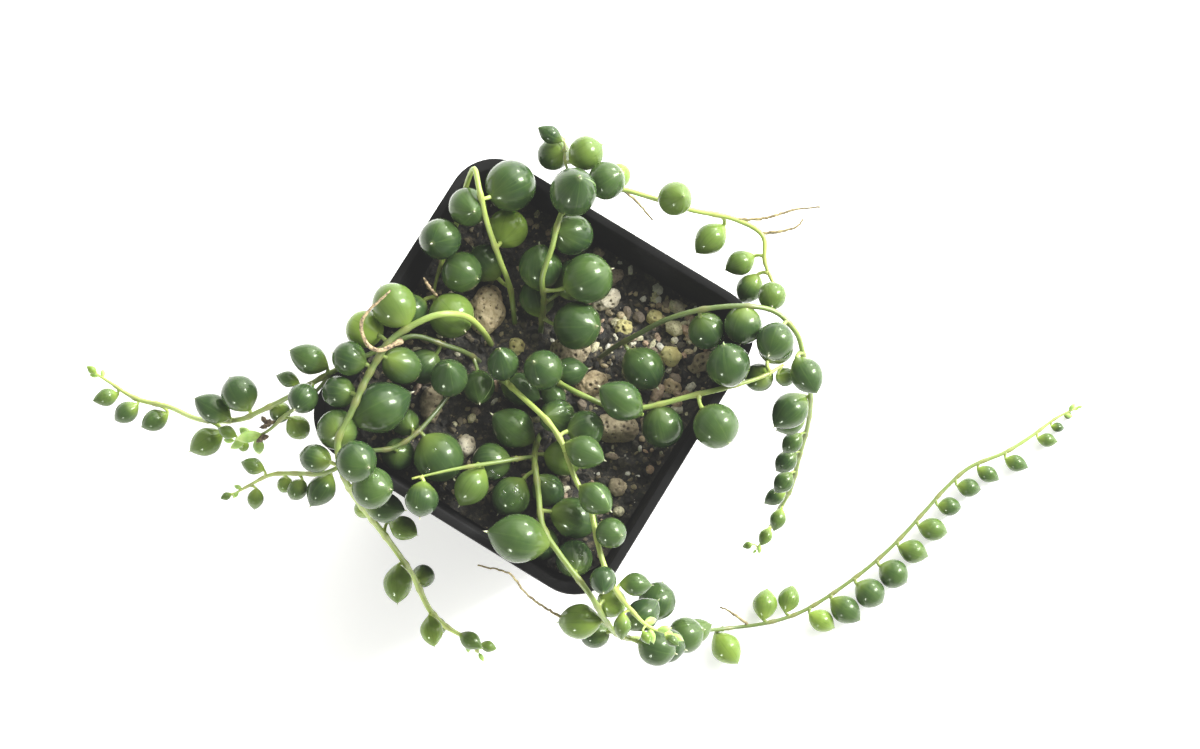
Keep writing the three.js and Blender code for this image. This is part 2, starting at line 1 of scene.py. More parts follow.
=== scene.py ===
"""A string of pearls in a small square pot: its fine pearls, stems, roots, pot, soil, stones and light.

The tables and sizes are in millimetres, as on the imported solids. Meshes are in metres.
The origin is the middle of the pot's underside, +Z is up, and the long stem trails towards +X.
"""
import math
import random

import bmesh
import bpy
import numpy as np
from mathutils import Matrix, Vector, kdtree, noise


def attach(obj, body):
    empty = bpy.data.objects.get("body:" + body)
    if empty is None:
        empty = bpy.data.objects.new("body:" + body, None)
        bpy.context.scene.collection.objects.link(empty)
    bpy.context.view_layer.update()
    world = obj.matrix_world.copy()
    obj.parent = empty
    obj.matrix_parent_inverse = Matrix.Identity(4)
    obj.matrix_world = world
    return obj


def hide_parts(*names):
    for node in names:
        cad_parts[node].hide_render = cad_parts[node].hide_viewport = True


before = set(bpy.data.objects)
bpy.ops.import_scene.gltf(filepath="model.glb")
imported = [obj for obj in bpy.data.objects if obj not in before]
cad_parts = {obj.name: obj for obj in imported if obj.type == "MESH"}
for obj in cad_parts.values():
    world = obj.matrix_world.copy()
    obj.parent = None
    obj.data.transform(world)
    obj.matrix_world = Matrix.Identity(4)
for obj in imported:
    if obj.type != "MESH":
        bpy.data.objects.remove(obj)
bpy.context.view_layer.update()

MM = 0.001

# Pot
POT_HEIGHT = 62
RIM_ACROSS = 65
BODY_TOP_ACROSS = 63.4
BASE_ACROSS = 46
CORNER_RADIUS = 9
CORNER_SEGMENTS = 12
WALL = 0.9
POT_FLOOR = 1.2
COLLAR_HEIGHT = 3.5
RIM_ROUNDING = 0.35
DRAIN_RADIUS = 3
DRAIN_PLACE = 14

# Soil
SOIL_LEVEL = 52.3
SOIL_FALL = 0.06
SOIL_LUMP = 0.55
SOIL_CELLS = 170
SOIL_FROM_WALL = 0.12
CRUMB_COUNT = 3000
GRIT_COUNT = 230
PERLITE_COUNT = 110
GRIT_IN_HEAP = 0.6
GRIT_LIMIT = 26

# Stones
STONE_RISE = 0.1
STONE_SWELL = 0.3
STONE_ROUGH = 0.30
PIT_DEPTH = 0.40
PIT_REACH = 0.34
LARGE_STONE = 5

# Stems and stalks
GAP = 0.35
STEM_RADIUS = 0.7
SHOOT_RADIUS = 0.5
PETIOLE = 0.6
LONGEST_PETIOLE = 3.6
TIP = 0.16
REST_HEIGHT = 0.25
STEM_STEP = 0.7
SLENDER = {"left_arch": 0.76, "long": 0.78}
SLENDER_REST = 0.72
SLENDER_END = {"long": ((85, 110), (1, 0.72))}  # Along the stem, and its share of the radius
NODE_REACH = 0.8
NODE_SWELL = 0.28
NODE_LIMIT = 1 + 1.4 * NODE_SWELL
NODE_FLUSH = 1.5
END_SHARE = 0.45
END_REACH = 14
THICKEST_STALK = 0.38
STALK_TO_PEARL = 0.09
STALK_LEAST = 0.11
STALK_FROM_MIDDLE = 1.04
STALK_DRAWN_BACK = 0.7
STALK_PALER = 0.15
STALK_SWELL = (1.6, 1.2, 1.0, 0.95, 1.0, 1.1, 1.2)

# How a stem is coloured along its length: woody and old up to the old reach, paler along the pale reaches,
# partly painted light where the stem stands in the light, and darker along the dull reaches
OLD_REACH = {
    "top_left": 12, "top": 10, "right_loop": 42, "right_low": 7, "left_arch": 2, "left_low": 32,
    "mid_left": 38, "front": 2, "long": 2,
}
PALE_AND_LIT_REACH = {
    "top_left": [(18, 60)], "left_arch": [(13, 24), (74, 130)], "left_low": [(66, 120)], "front": [(24, 70)],
    "mid_left": [(58, 70)], "top": [(45, 90)],
}
DULL_REACH = {"left_arch": [(40, 56)], "long": [(95, 240)]}
PALER = 0.3
DULLER = -0.26
AGE_RAMP = 12
AGE_RAMP_DOWN = 14

# Pearls' skin and form. A pair of tuples reads: at these sizes, these values.
SPINE = 0.17
SPINE_RADIUS = 0.055
SPINE_END = 0.004
POLE = 0.999
LUMP_PITCH = 1.1
LUMP_DEPTH = 0.035
YOUNG_BELOW = 4
POINTED_CHANCE = ((5.2, 6.6), (1, 0.2))
SLIM = (0.96, 0.96, 1.03)
SMALL_PEARL = 5
SMALL_PEARL_TONE = 0.15
PALE_NECK = ((3.5, 7.5), (0.95, 0.4))
# Share of the pale neck left on the dark pearls, which carry painted shade.
SHADED_PEARL_NECK = 0.35
WINDOW_CHANCE = 0.16

# Settling of the pearls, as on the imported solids
SETTLE_ROUNDS = 120
PULL_ROUNDS = 70
PULL_HOME = 0.04
CLEAR_OF_OTHERS = 0.75
CLEAR_OF_OWN = 0.15
SINK_IN_OWN_STEM = 0.3
CLEAR_OF_WALL = 0.8
CLEAR_OF_COLLAR = 2.2
SAMPLE_STEP = 1.5
PEARL_SHARE = 0.4
STEM_SHARE = 0.5
WALL_SHARE = 0.7

# Light
LIT_PLACE = (8, 5, 55)
GLOW_FROM = (77, 15)
HORIZON_LIGHT = 0.85
CEILING_LIGHT = 0.15
WINDOW_GLOW = 4.5
FLOOR_GLOW = 0.5
VIEW_GAMMA = 1.1
LENS_VEIL = 0.014

# Camera
LENS = 70
AZIMUTH = 31.6
ELEVATION = 82
AIM = (10.5, 6.5, 60)
DISTANCE = 440


# Routes


class Route:
    """A smooth centripetal curve through points, measured along its length in millimetres."""

    DIVISIONS = 200
    NUDGE = 0.0001

    def __init__(self, points):
        self.points = np.array(points, float)
        places = np.array([self.at_share(i / self.DIVISIONS) for i in range(self.DIVISIONS + 1)])
        steps = np.linalg.norm(np.diff(places, axis=0), axis=1)
        self.lengths = np.concatenate([[0], np.cumsum(steps)])
        self.length = self.lengths[-1]

    def at_share(self, share):
        """The point at a share of the curve's own parameter."""
        points = self.points
        last = len(points) - 1
        place = last * share
        index = min(int(place), last - 1)
        part = place - index
        b, c = points[index], points[index + 1]
        a = points[index - 1] if index > 0 else 2 * b - c
        d = points[index + 2] if index + 2 <= last else 2 * c - b
        ab, bc, cd = (math.sqrt(np.linalg.norm(q - p)) for p, q in ((a, b), (b, c), (c, d)))
        leave = ((b - a) / ab - (c - a) / (ab + bc) + (c - b) / bc) * bc
        reach = ((c - b) / bc - (d - b) / (bc + cd) + (d - c) / cd) * bc
        square = -3 * b + 3 * c - 2 * leave - reach
        cube = 2 * b - 2 * c + leave + reach
        return b + leave * part + square * part**2 + cube * part**3

    def share_at(self, along):
        return float(np.interp(along, self.lengths, np.arange(self.DIVISIONS + 1))) / self.DIVISIONS

    def at(self, along):
        return self.at_share(self.share_at(along))

    def tangent(self, along):
        share = self.share_at(along)
        before, after = max(share - self.NUDGE, 0), min(share + self.NUDGE, 1)
        step = self.at_share(after) - self.at_share(before)
        return step / np.linalg.norm(step)

    def spaced(self, step):
        """Points at equal steps, and how far along each is."""
        alongs = np.linspace(0, self.length, max(2, math.ceil(self.length / step)) + 1)
        return np.array([self.at(along) for along in alongs]), alongs


# The plant

# Most of the numbers of the plant, the stones and the grit, from here to the withered bits, were read off
# the photograph by eye and turned into millimetres and degrees by separate scripts. Some were then
# changed.


class Branch:
    """A strand's stem, or a shoot that grows from it: its radius, its route and its rows of pearls.

    A row says where it starts and ends along the stem, how far across each pearl is, and on which side
    each sits: 0 above the stem, 90 to the right as it grows, 180 below. Last comes how long its stalks
    are, where they aren't the usual length, or that the pearls lie on the ground.
    """

    def __init__(self, strand, stem, route, rows):
        self.strand = strand
        self.stem = stem
        self.route = Route(route)
        self.rows = rows


LYING = "lying"
branches = []


def grow(*branch):
    branches.append(Branch(*branch))


grow("top_left", STEM_RADIUS, [
    (-8.5, 6.5, 43), (-9, 7, 51), (-13, 12, 58), (-17, 15, 63), (-22, 19, 68), (-26, 23, 71), (-29, 26, 70),
    (-29.5, 24, 66), (-28.5, 20, 62.5), (-27.5, 15, 60), (-26.5, 9, 58.5), (-25, 4, 57.5), (-23, 1.5, 56),
], [
    (17, 38, [7.3, 7.7, 9.6], [-132, 144, 128], 1.5),
    (54, 73, [7.7, 7.9, 7.7, 8.8], [-20, -20, -42, -45]),
    (73, 73, [6.4], [50], 0.9),
])
grow("top", STEM_RADIUS, [
    (-4, 7.5, 43), (-4, 8, 51), (-6, 13, 60), (-8, 16, 65), (-9, 21, 68), (-11, 28, 68), (-10, 32, 66.5),
    (-8, 36, 64.5), (-5, 38, 64), (2, 40, 64), (9, 42, 63), (17, 45, 62), (23, 45, 62), (26, 41, 61),
    (30, 38, 60), (32, 36, 58),
], [
    (13, 21, [9, 8.4, 8, 9.6], [78, -150, -165, 104], 1.6),
    (35, 51, [8.1, 9.1, 7.1, 5], [148, 0, 0, -130]),
    (61.5, 70.5, [6.8, 5.9], [0, 117], 1.2),
    (85.5, 91, [4.9, 5.3, 5.4], [115, 125, 18], 1.6),
    (14.2, 14.2, [7], [-127]),
])
grow("top", SHOOT_RADIUS, [
    (-11, 31, 67), (-13, 34, 67), (-16, 37, 66.5), (-18, 40, 66), (-20, 41, 65),
], [
    (8, 13, [6.6, 6.5, 3.6], [77, -150, -35]),
])
grow("right_loop", STEM_RADIUS, [
    (7.5, 9.5, 43), (8, 10, 51), (10, 13, 57), (13, 17, 62), (16, 21, 66), (21, 26, 68), (28, 31, 68),
    (33, 33, 66), (38, 32, 64), (41, 30, 60), (46, 26, 51), (49, 22, 40), (51, 17, 30), (53, 12, 21),
    (53.5, 8, 13), (54, 2, 6), (54, -1, 3),
], [
    (18, 18, [8.3], [106], 1.4),
    (36, 62, [6.8, 7.1, 7.2, 6.4], [138, 139, 71, 18], 1.2),
    (75, 129, [6.9, 5.1, 4.2, 4.4, 4.1, 3.7, 3.5, 2.9, 1.7], [68, 71, 45, 47, 41, 47, -9, 1, 75]),
])
grow("right_low", STEM_RADIUS, [
    (-2.5, 1, 43), (-2, 1, 51), (1, 1, 57), (4, 1, 60), (10, 1, 64), (16, 2, 64), (21, 5, 64),
    (27, 11, 64.5), (33, 17, 65), (37, 22, 63), (39, 26, 61),
], [
    (15, 20, [4.9, 5.7, 7.6], [149, -130, 2], 1.4),
    (34, 56, [7.7, 7.9, 8.4, 8.2], [-8, 120, 106, -64]),
    (62, 67, [6.8, 5.7, 3.8], [-106, -175, 151]),
])
grow("left_arch", 0.8, [
    (-11, 1.5, 43), (-11, 1.5, 51), (-13, 2, 60), (-16, 2, 66), (-19, 0, 70), (-21, -2, 70.5),
    (-24, -7, 70.5), (-25, -10, 70.5), (-25, -18, 70), (-24, -25, 70), (-23.5, -30, 69.5),
    (-21.5, -33, 68.5), (-19, -35.5, 66), (-17, -37, 60), (-14, -38.5, 50), (-8, -41, 40), (-2, -44, 31),
    (4, -48, 24), (8, -49, 20), (13, -49, 17), (16, -50, 15),
], [
    (37.5, 37.5, [8.3], [95], 0),
    (42, 54, [7.1, 7.5, 6.5, 9.9, 6.2], [123, -166, 125, -149, 133], 2.2),
    (61, 73, [7.5, 7.5, 5.6, 7.7], [159, -37, 153, -80], 1.2),
    (83, 95.5, [6.1, 3.9, 4.9], [-53, 178, -75]),
    (106, 121.5, [6.1, 4.8, 4.8], [46, -157, 36]),
    (126, 135, [4.1, 3.9, 2.5], [159, -2, -60]),
])
grow("left_low", STEM_RADIUS, [
    (-10.5, -2.5, 43), (-11, -2.5, 51), (-14, -3, 57), (-17, -4, 60), (-23, -6, 62.5), (-26, -10, 63),
    (-29, -15, 64), (-32, -20, 65), (-37, -28, 61.5), (-41, -33, 57), (-44, -36, 53), (-52, -40, 46),
    (-60, -41, 39), (-68, -43, 33), (-76, -43, 28), (-80, -43, 26),
], [
    (12, 21, [6.5, 6.8], [-76, -125], 2.2),
    (45, 51, [6, 5.6, 3.2], [64, -37, 75]),
    (58, 76, [4.2, 6.8, 5.9, 5.6], [-147, 69, 31, -102]),
    (93, 112, [4.6, 4.6, 3.8, 1.7], [-107, -85, -80, 7], 0.3),
])
grow("left_low", SHOOT_RADIUS, [
    (-32, -20, 65), (-32.5, -24, 64.5), (-34, -28, 63), (-36, -31.5, 60), (-37.5, -35, 57), (-40, -38, 54),
    (-43, -40, 51),
], [
    (15, 15, [4.8], [-143]),
    (29, 33, [2.7, 2.3], [39, -158]),
])
grow("mid_left", 0.6, [
    (-13, -6.5, 43), (-13, -7, 51), (-12, -10, 58), (-12, -16, 61), (-13, -22, 62.5), (-15, -26, 63),
    (-18, -28.5, 63.7), (-20.5, -31.5, 64), (-22, -35, 63.5), (-24, -37, 62), (-28, -39, 58.5),
    (-33, -42, 55), (-36, -46, 52), (-38, -49, 50),
], [
    (18, 28, [7.3, 9.4], [10, -118], 1),
    (51, 71, [5.5, 4, 3.2, 3.4, 3.3, 1.6], [-140, -116, -137, 64, -112, 0]),
    (30.6, 34.5, [5.7, 6.4], [151, -150], 3),
])
grow("front", STEM_RADIUS, [
    (-6, -4, 43), (-6, -4, 51), (-4, -4, 59), (0, -5, 63), (8, -7, 66), (12, -9, 66), (17, -13, 65.5),
    (22, -16, 65), (26, -20, 65), (29, -23, 65.3), (33, -26, 64.5), (38, -28, 61.5), (43, -29, 59),
    (47, -28, 57.5),
], [
    (14, 19, [6.5, 6.2], [-162, -22], 1.4),
    (30, 38, [6.8, 6.9, 6.3], [-149, -116, -40], 1),
    (47, 61, [6.2, 5.7, 5.1], [-19, -40, 18]),
    (66, 79, [4.6, 3.5, 1.9, 2.1], [-92, 90, 63, 30]),
])
grow("long", STEM_RADIUS, [
    (5.5, -6.5, 43), (6, -8, 51), (8, -13, 58), (12, -18, 62), (17, -24, 65), (22, -26.5, 66),
    (31, -30, 64.5), (35, -32, 59), (39, -33, 49), (43, -31, 37), (48, -28, 23), (52.5, -22.5, 10),
    (58, -18, 4), (63.5, -13.5, 3.8), (68, -8.5, 3.5), (71, -3.5, 3.5), (74, 3, 3.5), (76.5, 9.5, 3.5),
    (78.5, 16.5, 3.5), (80, 24, 3.4), (81.5, 31.5, 3.2), (83.5, 37.5, 3), (88.5, 44.5, 2.8),
    (91.5, 50.5, 2.5), (94, 56.5, 2.2), (96.5, 60.5, 1.9),
], [
    (14, 23, [7.8, 7, 7.5, 6.4], [72, -107, 142, -176], 1.2),
    (30, 34, [8.2, 9.3], [-151, 123], 1.8),
    (45, 58, [7.1, 5.6, 6.9], [170, -147, 133], 1.2),
    (69, 72, [6.3, 7.3], [-59, 15], 1.8),
    (83, 83, [7.3], [-80], 3.5),
    (92, 101, [7.2, 5.1], [-11, 0]),
    (118, 118, [6.3], [115], LYING),
    (127.5, 142, [5.3, 4.8, 4.8, 5.9], [-103, -107, 104, 98], LYING),
    (148, 191, [6.3, 6.3, 5.3, 5.1, 4.2, 4.2, 3.8, 3.8], [93, 93, 103, 100, 107, 103, 117, 108], LYING),
    (199, 206.5, [3.2, 2.3, 1.7], [117, 133, 168], LYING),
    (33.8, 33.8, [6.4], [177], 3),
    (64.7, 64.7, [5.7], [144]),
    (82, 82, [6.7], [10], 0.8),
])
grow("long", SHOOT_RADIUS, [
    (8, -13, 58), (6, -15, 60.5), (3, -18, 63), (-2, -22.5, 64.5), (-8.5, -29, 66),
], [
    (4, 24, [7.2, 6.4, 6.1], [177, -131, -95]),
])
strands = list(dict.fromkeys(branch.strand for branch in branches))

# Thin dry roots that grow from two of the stems.
ROOTS = {
    "top": [
        [(-5, 38, 64), (-3, 38.5, 62.5), (0, 38, 61), (3.5, 37, 60)],
        [(17, 45, 62), (21, 47.5, 62.5), (26, 52.5, 63.5), (29.5, 55, 64)],
        [(22.5, 45.2, 62), (25, 47, 62.5), (27.5, 49.5, 63), (28, 51.5, 63)],
    ],
    "long": [
        [(60.4, -15.7, 3.8), (58, -15.4, 3.6), (55.7, -15.2, 2.8), (53.8, -15.4, 1.8)],
        [
            (35.1, -32.1, 58), (34.4, -33.6, 54.5), (33, -35.2, 52.2), (29.9, -35.9, 52.4),
            (26.1, -36, 55), (22.4, -36, 58.5), (19.3, -35.5, 61.5), (16.8, -34.4, 63.4),
            (14.7, -34.6, 64), (12.4, -35.3, 64), (10.2, -36.1, 63.6),
        ],
    ],
}

# Stones half sunk in the soil: place, size along x, y and z, and the kind of stone.
STONES = [
    ((-15.1, 6.5), (7, 10, 7), "pink"),
    ((-6.6, 3.6), (3, 3.6, 3), "yellow"),
    ((3.6, 20.6), (3.6, 5.6, 4), "white"),
    ((2.6, 8.6), (8, 5.4, 5), "brown"),
    ((9.4, 4.8), (4, 6.8, 5), "pink"),
    ((18.2, 0.2), (9, 5.4, 6), "brown"),
    ((19.6, 17.6), (4.4, 3.8, 4), "yellow"),
    ((13, 22.6), (3.2, 2.8, 3), "yellow"),
    ((9, 17.8), (3.4, 3, 3), "yellow"),
    ((15.4, 26.6), (2.8, 2.4, 2.6), "white"),
    ((20, 25.6), (3, 2.6, 3), "white"),
    ((23, 12.8), (3.6, 3, 3.4), "pink"),
    ((25.4, 19.8), (3.2, 6, 4), "brown"),
    ((24.1, -9.4), (3.4, 3.6, 3.4), "brown"),
    ((-4.6, -18), (3.4, 4.8, 4), "white"),
    ((-14.5, -14.5), (3.8, 7.4, 4.4), "brown"),
]

# Pearls by their number along the strand: how lime green some are, partly the young ones' own colour and
# partly painted light on pearls that catch light bounced from the floor; which are round whatever their size;
# and which are darkest, painted shade on pearls that lie in shade. Chosen to match the photograph over each
# pearl.
LIME_AND_LIT_PEARLS = {
    "top_left": {1: 1.0, 6: 0.82},
    "top": {6: 0.5, 7: 1.0, 8: 0.8, 9: 0.8, 10: 0.75, 12: 0.75, 14: 0.8},
    "right_loop": {11: 0.7, 12: 0.85, 13: 0.8},
    "left_arch": {0: 0.75, 1: 1.0, 2: 0.6, 11: 1.0, 12: 0.85, 13: 0.9, 15: 1.0, 16: 0.8, 18: 0.8},
    "left_low": {8: 0.8, 11: 0.7, 12: 1.0, 13: 0.9, 14: 0.8, 15: 1.0},
    "mid_left": {3: 0.65, 4: 0.85, 5: 0.7, 6: 0.8, 7: 0.7},
    "front": {9: 0.75, 10: 0.9, 11: 0.65},
    "long": {
        1: 0.8, 7: 0.85, 8: 0.85, 12: 0.62, 13: 0.7, 14: 0.95, 15: 0.9, 16: 0.8, 17: 1.0, 19: 0.6, 21: 0.7,
        22: 0.7, 34: 0.72,
    },
}
ROUND_PEARLS = {"left_low": [6], "right_low": [4, 6]}
DARK_AND_SHADED_PEARLS = {
    "top_left": [2, 4], "top": [4, 16], "right_loop": [0, 1, 3, 7, 8, 9], "right_low": [2, 3, 4, 6],
    "left_arch": [3, 4, 5, 7], "left_low": [1, 3], "mid_left": [8, 9], "front": [1, 2, 3, 7],
    "long": [3, 6, 9, 11, 30, 31, 32, 33],
}

# The way that some pearls' tips point, seen from above.
TIP_LEANS = {
    "top": {9: (-0.39, -0.92), 10: (-0.4, -0.92)},
    "right_loop": {4: (0.91, -0.42), 5: (-0.13, -0.99)},
    "right_low": {3: (-1, -0.06)},
    "left_arch": {4: (0.32, 0.95), 12: (0.98, -0.18), 13: (0.64, -0.77)},
    "left_low": {2: (-0.95, -0.3), 7: (-1, -0.09), 8: (-0.69, -0.73), 9: (-0.72, -0.69), 11: (-0.79, -0.61)},
    "mid_left": {2: (-0.29, -0.96)},
    "front": {4: (1, 0), 5: (0.96, -0.26), 8: (0.96, 0.28)},
    "long": {5: (-0.98, -0.22), 14: (0.99, -0.16), 34: (-0.17, -0.99)},
}
LEAN_RISE = 0.1
LEAN_SHARE = 0.75
# How much the others lean towards the growing end, by the pearl's radius.
FORWARD_LEAN = ((1, 2.2, 3.6), (0.55, 0.45, 0.12))
TIP_ABOVE_FLOOR = 0.3

# Grit that stands out on the soil: place, how far across, and its tone from brown to white.
GRIT = [
    (2.5, 25.4, 3.1, 0.12), (6.6, 24.2, 0.9, 0.2), (15.3, 26.5, 2.6, 0.75), (10.4, 21.0, 2.5, 0.05),
    (8.1, 20.5, 2.1, 0.1), (17.4, 22.6, 3.4, 0.6), (15.5, 19.4, 1.7, 0.3), (22.9, 13.4, 2.3, 0.7),
    (21.3, 9.9, 3.0, 0.3), (9.7, 9.3, 1.3, 0.5), (-2.8, 27.6, 2.3, 0.2), (-2.9, 25.1, 2.1, 0.55),
    (23.2, 3.4, 1.6, 0.7), (-6.4, -12.8, 1.8, 0.6), (4.2, -6.2, 1.8, 0.62), (20.2, -4.9, 1.9, 0.15),
    (16.6, -16.2, 1.6, 0.25), (27.7, -3.3, 1.7, 0.4), (14.9, -4.4, 1.8, 0.6), (24.6, -9.2, 2.3, 0.45),
    (21.2, 22.2, 1.6, 0.8), (15.0, 15.6, 1.3, 0.3), (21.8, 24.8, 1.4, 0.2), (-8.6, -15.4, 1.2, 0.7),
    (5.4, 14.8, 1.5, 0.3), (0.7, 18.7, 1.4, 0.25), (12.6, 13.4, 1.4, 0.65), (19.4, 12.2, 1.5, 0.2),
    (11.4, 24.6, 1.2, 0.5), (24.6, 22.8, 1.7, 0.35), (12.4, 17.4, 1.8, 0.72), (6.4, 17.6, 1.6, 0.2),
]

# Perlite that stands out: place, and how far across.
PERLITE = [
    (4.2, 28.0, 1.5), (10.6, 27.6, 2.4), (11.8, 25.9, 1.5), (9.2, 24.6, 1.3), (8.4, 12.8, 1.1),
    (1.7, 28.2, 1.0), (24.0, -0.8, 1.1), (24.5, -6.1, 1.0), (5.2, -19.4, 1.1), (18.8, 28.2, 1.0),
    (-1.6, -24.6, 1.2),
]

# Stems with a growing tip, 0 for the strand's own stem: how many new leaves, and how long.
GROWING_TIPS = {
    ("right_loop", 0): (3, 1.9),
    ("left_arch", 0): (4, 2.8),
    ("left_low", 0): (4, 2.3),
    ("left_low", 1): (6, 3.6),
    ("mid_left", 0): (4, 2.0),
    ("front", 0): (5, 3.2),
    ("long", 0): (4, 2.2),
    ("top", 1): (2, 1.6),
}

# Drops of water: strand and number of the pearl, then how far right and up on it as the camera
# sees it, in pearl radii, and the drop's radius.
DROP_SPREAD = 1.2
DROP_HEIGHT = 0.75
WATER_DROPS = {
    ("long", 33): [(0.05, -0.68, 0.8), (0.37, -0.78, 0.5), (-0.4, -0.4, 0.35)],
    ("long", 2): [(0.3, 0.25, 0.65), (-0.35, 0.1, 0.5), (0.55, -0.2, 0.4), (0.1, -0.45, 0.3)],
    ("long", 3): [(-0.45, 0.65, 0.7), (-0.22, 0.3, 0.55), (0.25, 0.6, 0.4)],
    ("long", 6): [(-0.1, -0.3, 0.6), (0.35, 0.1, 0.4)],
    ("front", 2): [(0.6, 0.15, 0.6), (0.2, 0.6, 0.5), (0.8, -0.2, 0.4), (0.1, 0.1, 0.3)],
    ("right_loop", 0): [(-0.1, 0.3, 0.45), (0.12, -0.7, 0.5)],
    ("top", 0): [(0.72, 0.4, 0.5), (0.5, 0.65, 0.35)],
    ("mid_left", 1): [(-0.38, -0.58, 0.5), (-0.1, 0.2, 0.35)],
    ("left_arch", 9): [(0.2, 0.5, 0.45)],
    ("right_low", 1): [(-0.3, 0.3, 0.35)],
}

# The dried tendril that curls over the arch.
DRY_TENDRIL = [
    (-23.2, -8.6, 70.6), (-25.3, -12.3, 72.5), (-27.1, -12.8, 73), (-29.2, -11.8, 73.5), (-30.7, -9.8, 74),
    (-30.7, -7.5, 74.5), (-29.8, -4.7, 75.3), (-29.1, -2.1, 75.3),
]

# Withered bits: where each lies, how thick it is, and how dark from 0 to 1.
WITHERED = [
    ([(-23, 3, 60), (-25.2, 3.4, 62), (-27.2, 4.4, 63.4)], 0.3, 0.0),
    ([(-37, -33, 57.6), (-38.6, -34, 58), (-39.8, -33.6, 58.6)], 0.5, 0.95),
    ([(-37.6, -33.6, 57.8), (-38.4, -35, 58.4), (-39, -35.6, 58.8)], 0.35, 1.0),
    ([(-37, -36, 56.6), (-38, -37, 56), (-38.6, -38.2, 55.4)], 0.45, 1.0),
]


# Where the pearls are


def body_across(height):
    """How far across the pot's body is outside, at a height."""
    return BASE_ACROSS + (BODY_TOP_ACROSS - BASE_ACROSS) * height / POT_HEIGHT


def soil_height(x, y):
    """The soil's top at a place: level, lower towards +Y, with a few low lumps."""
    broad = np.sin(0.31 * x + 1.3) * np.cos(0.27 * y - 0.4)
    narrow = np.sin(0.83 * x - 0.59 * y) * np.cos(0.71 * y + 0.47 * x)
    return SOIL_LEVEL - SOIL_FALL * y + SOIL_LUMP * (broad + narrow)


def side_direction(tangent, side):
    """The direction away from a stem on one side of it, the side given in degrees."""
    up = np.array([0, 0, 1]) - tangent * tangent[2]
    up /= np.linalg.norm(up)
    angle = math.radians(side)
    return up * math.cos(angle) + np.cross(tangent, up) * math.sin(angle)


class Pearl:
    """A pearl on a branch. Its place is its number along the strand, its root is where its stalk starts."""

    def __init__(self, branch, place, along, across):
        self.branch = branch
        self.strand = branch.strand
        self.place = place
        self.along = along
        self.root = branch.route.at(along)
        self.across = across
        self.radius = across / 2


def grown_pearls():
    """Every pearl where it would sit if nothing were in its way."""
    pearls = []
    for branch in branches:
        for start, end, sizes, sides, *stalk in branch.rows:
            lying = stalk == [LYING]
            petiole = stalk[0] if stalk and not lying else PETIOLE
            for i, (across, side) in enumerate(zip(sizes, sides)):
                along = min(start + (end - start) * i / max(1, len(sizes) - 1), branch.route.length)
                place = sum(pearl.strand == branch.strand for pearl in pearls)
                pearl = Pearl(branch, place, along, across)
                away = side_direction(branch.route.tangent(along), side)
                pearl.middle = pearl.root + away * (pearl.radius + branch.stem + petiole)
                if lying:
                    pearl.middle[2] = pearl.radius + REST_HEIGHT
                pearls.append(pearl)
    return pearls


def pushes(middles, others, rooms):
    """How far each middle has to move to be clear of each other place."""
    apart = middles[:, None, :] - others[None, :, :]
    distance = np.linalg.norm(apart, axis=2)
    share = np.where((distance < rooms) & (distance > 0), (rooms - distance) / np.maximum(distance, 1e-9), 0)
    return (apart * share[:, :, None]).sum(axis=1)


def nearest_on_wall(point):
    """The wall's nearest place to a point: on its middle line, no higher than the rim."""
    height = min(point[2], POT_HEIGHT - WALL)
    across = body_across(height)
    radius = CORNER_RADIUS * across / RIM_ACROSS
    middle = across / 2 - radius
    beyond = np.abs(point[:2]) - middle
    signs = np.where(point[:2] < 0, -1, 1)
    reach = radius - WALL / 2
    if beyond[0] > 0 and beyond[1] > 0:
        x, y = signs * (middle + beyond * reach / np.linalg.norm(beyond))
    elif beyond[0] > beyond[1]:
        x, y = signs[0] * (middle + reach), point[1]
    else:
        x, y = point[0], signs[1] * (middle + reach)
    return np.array([x, y, height])


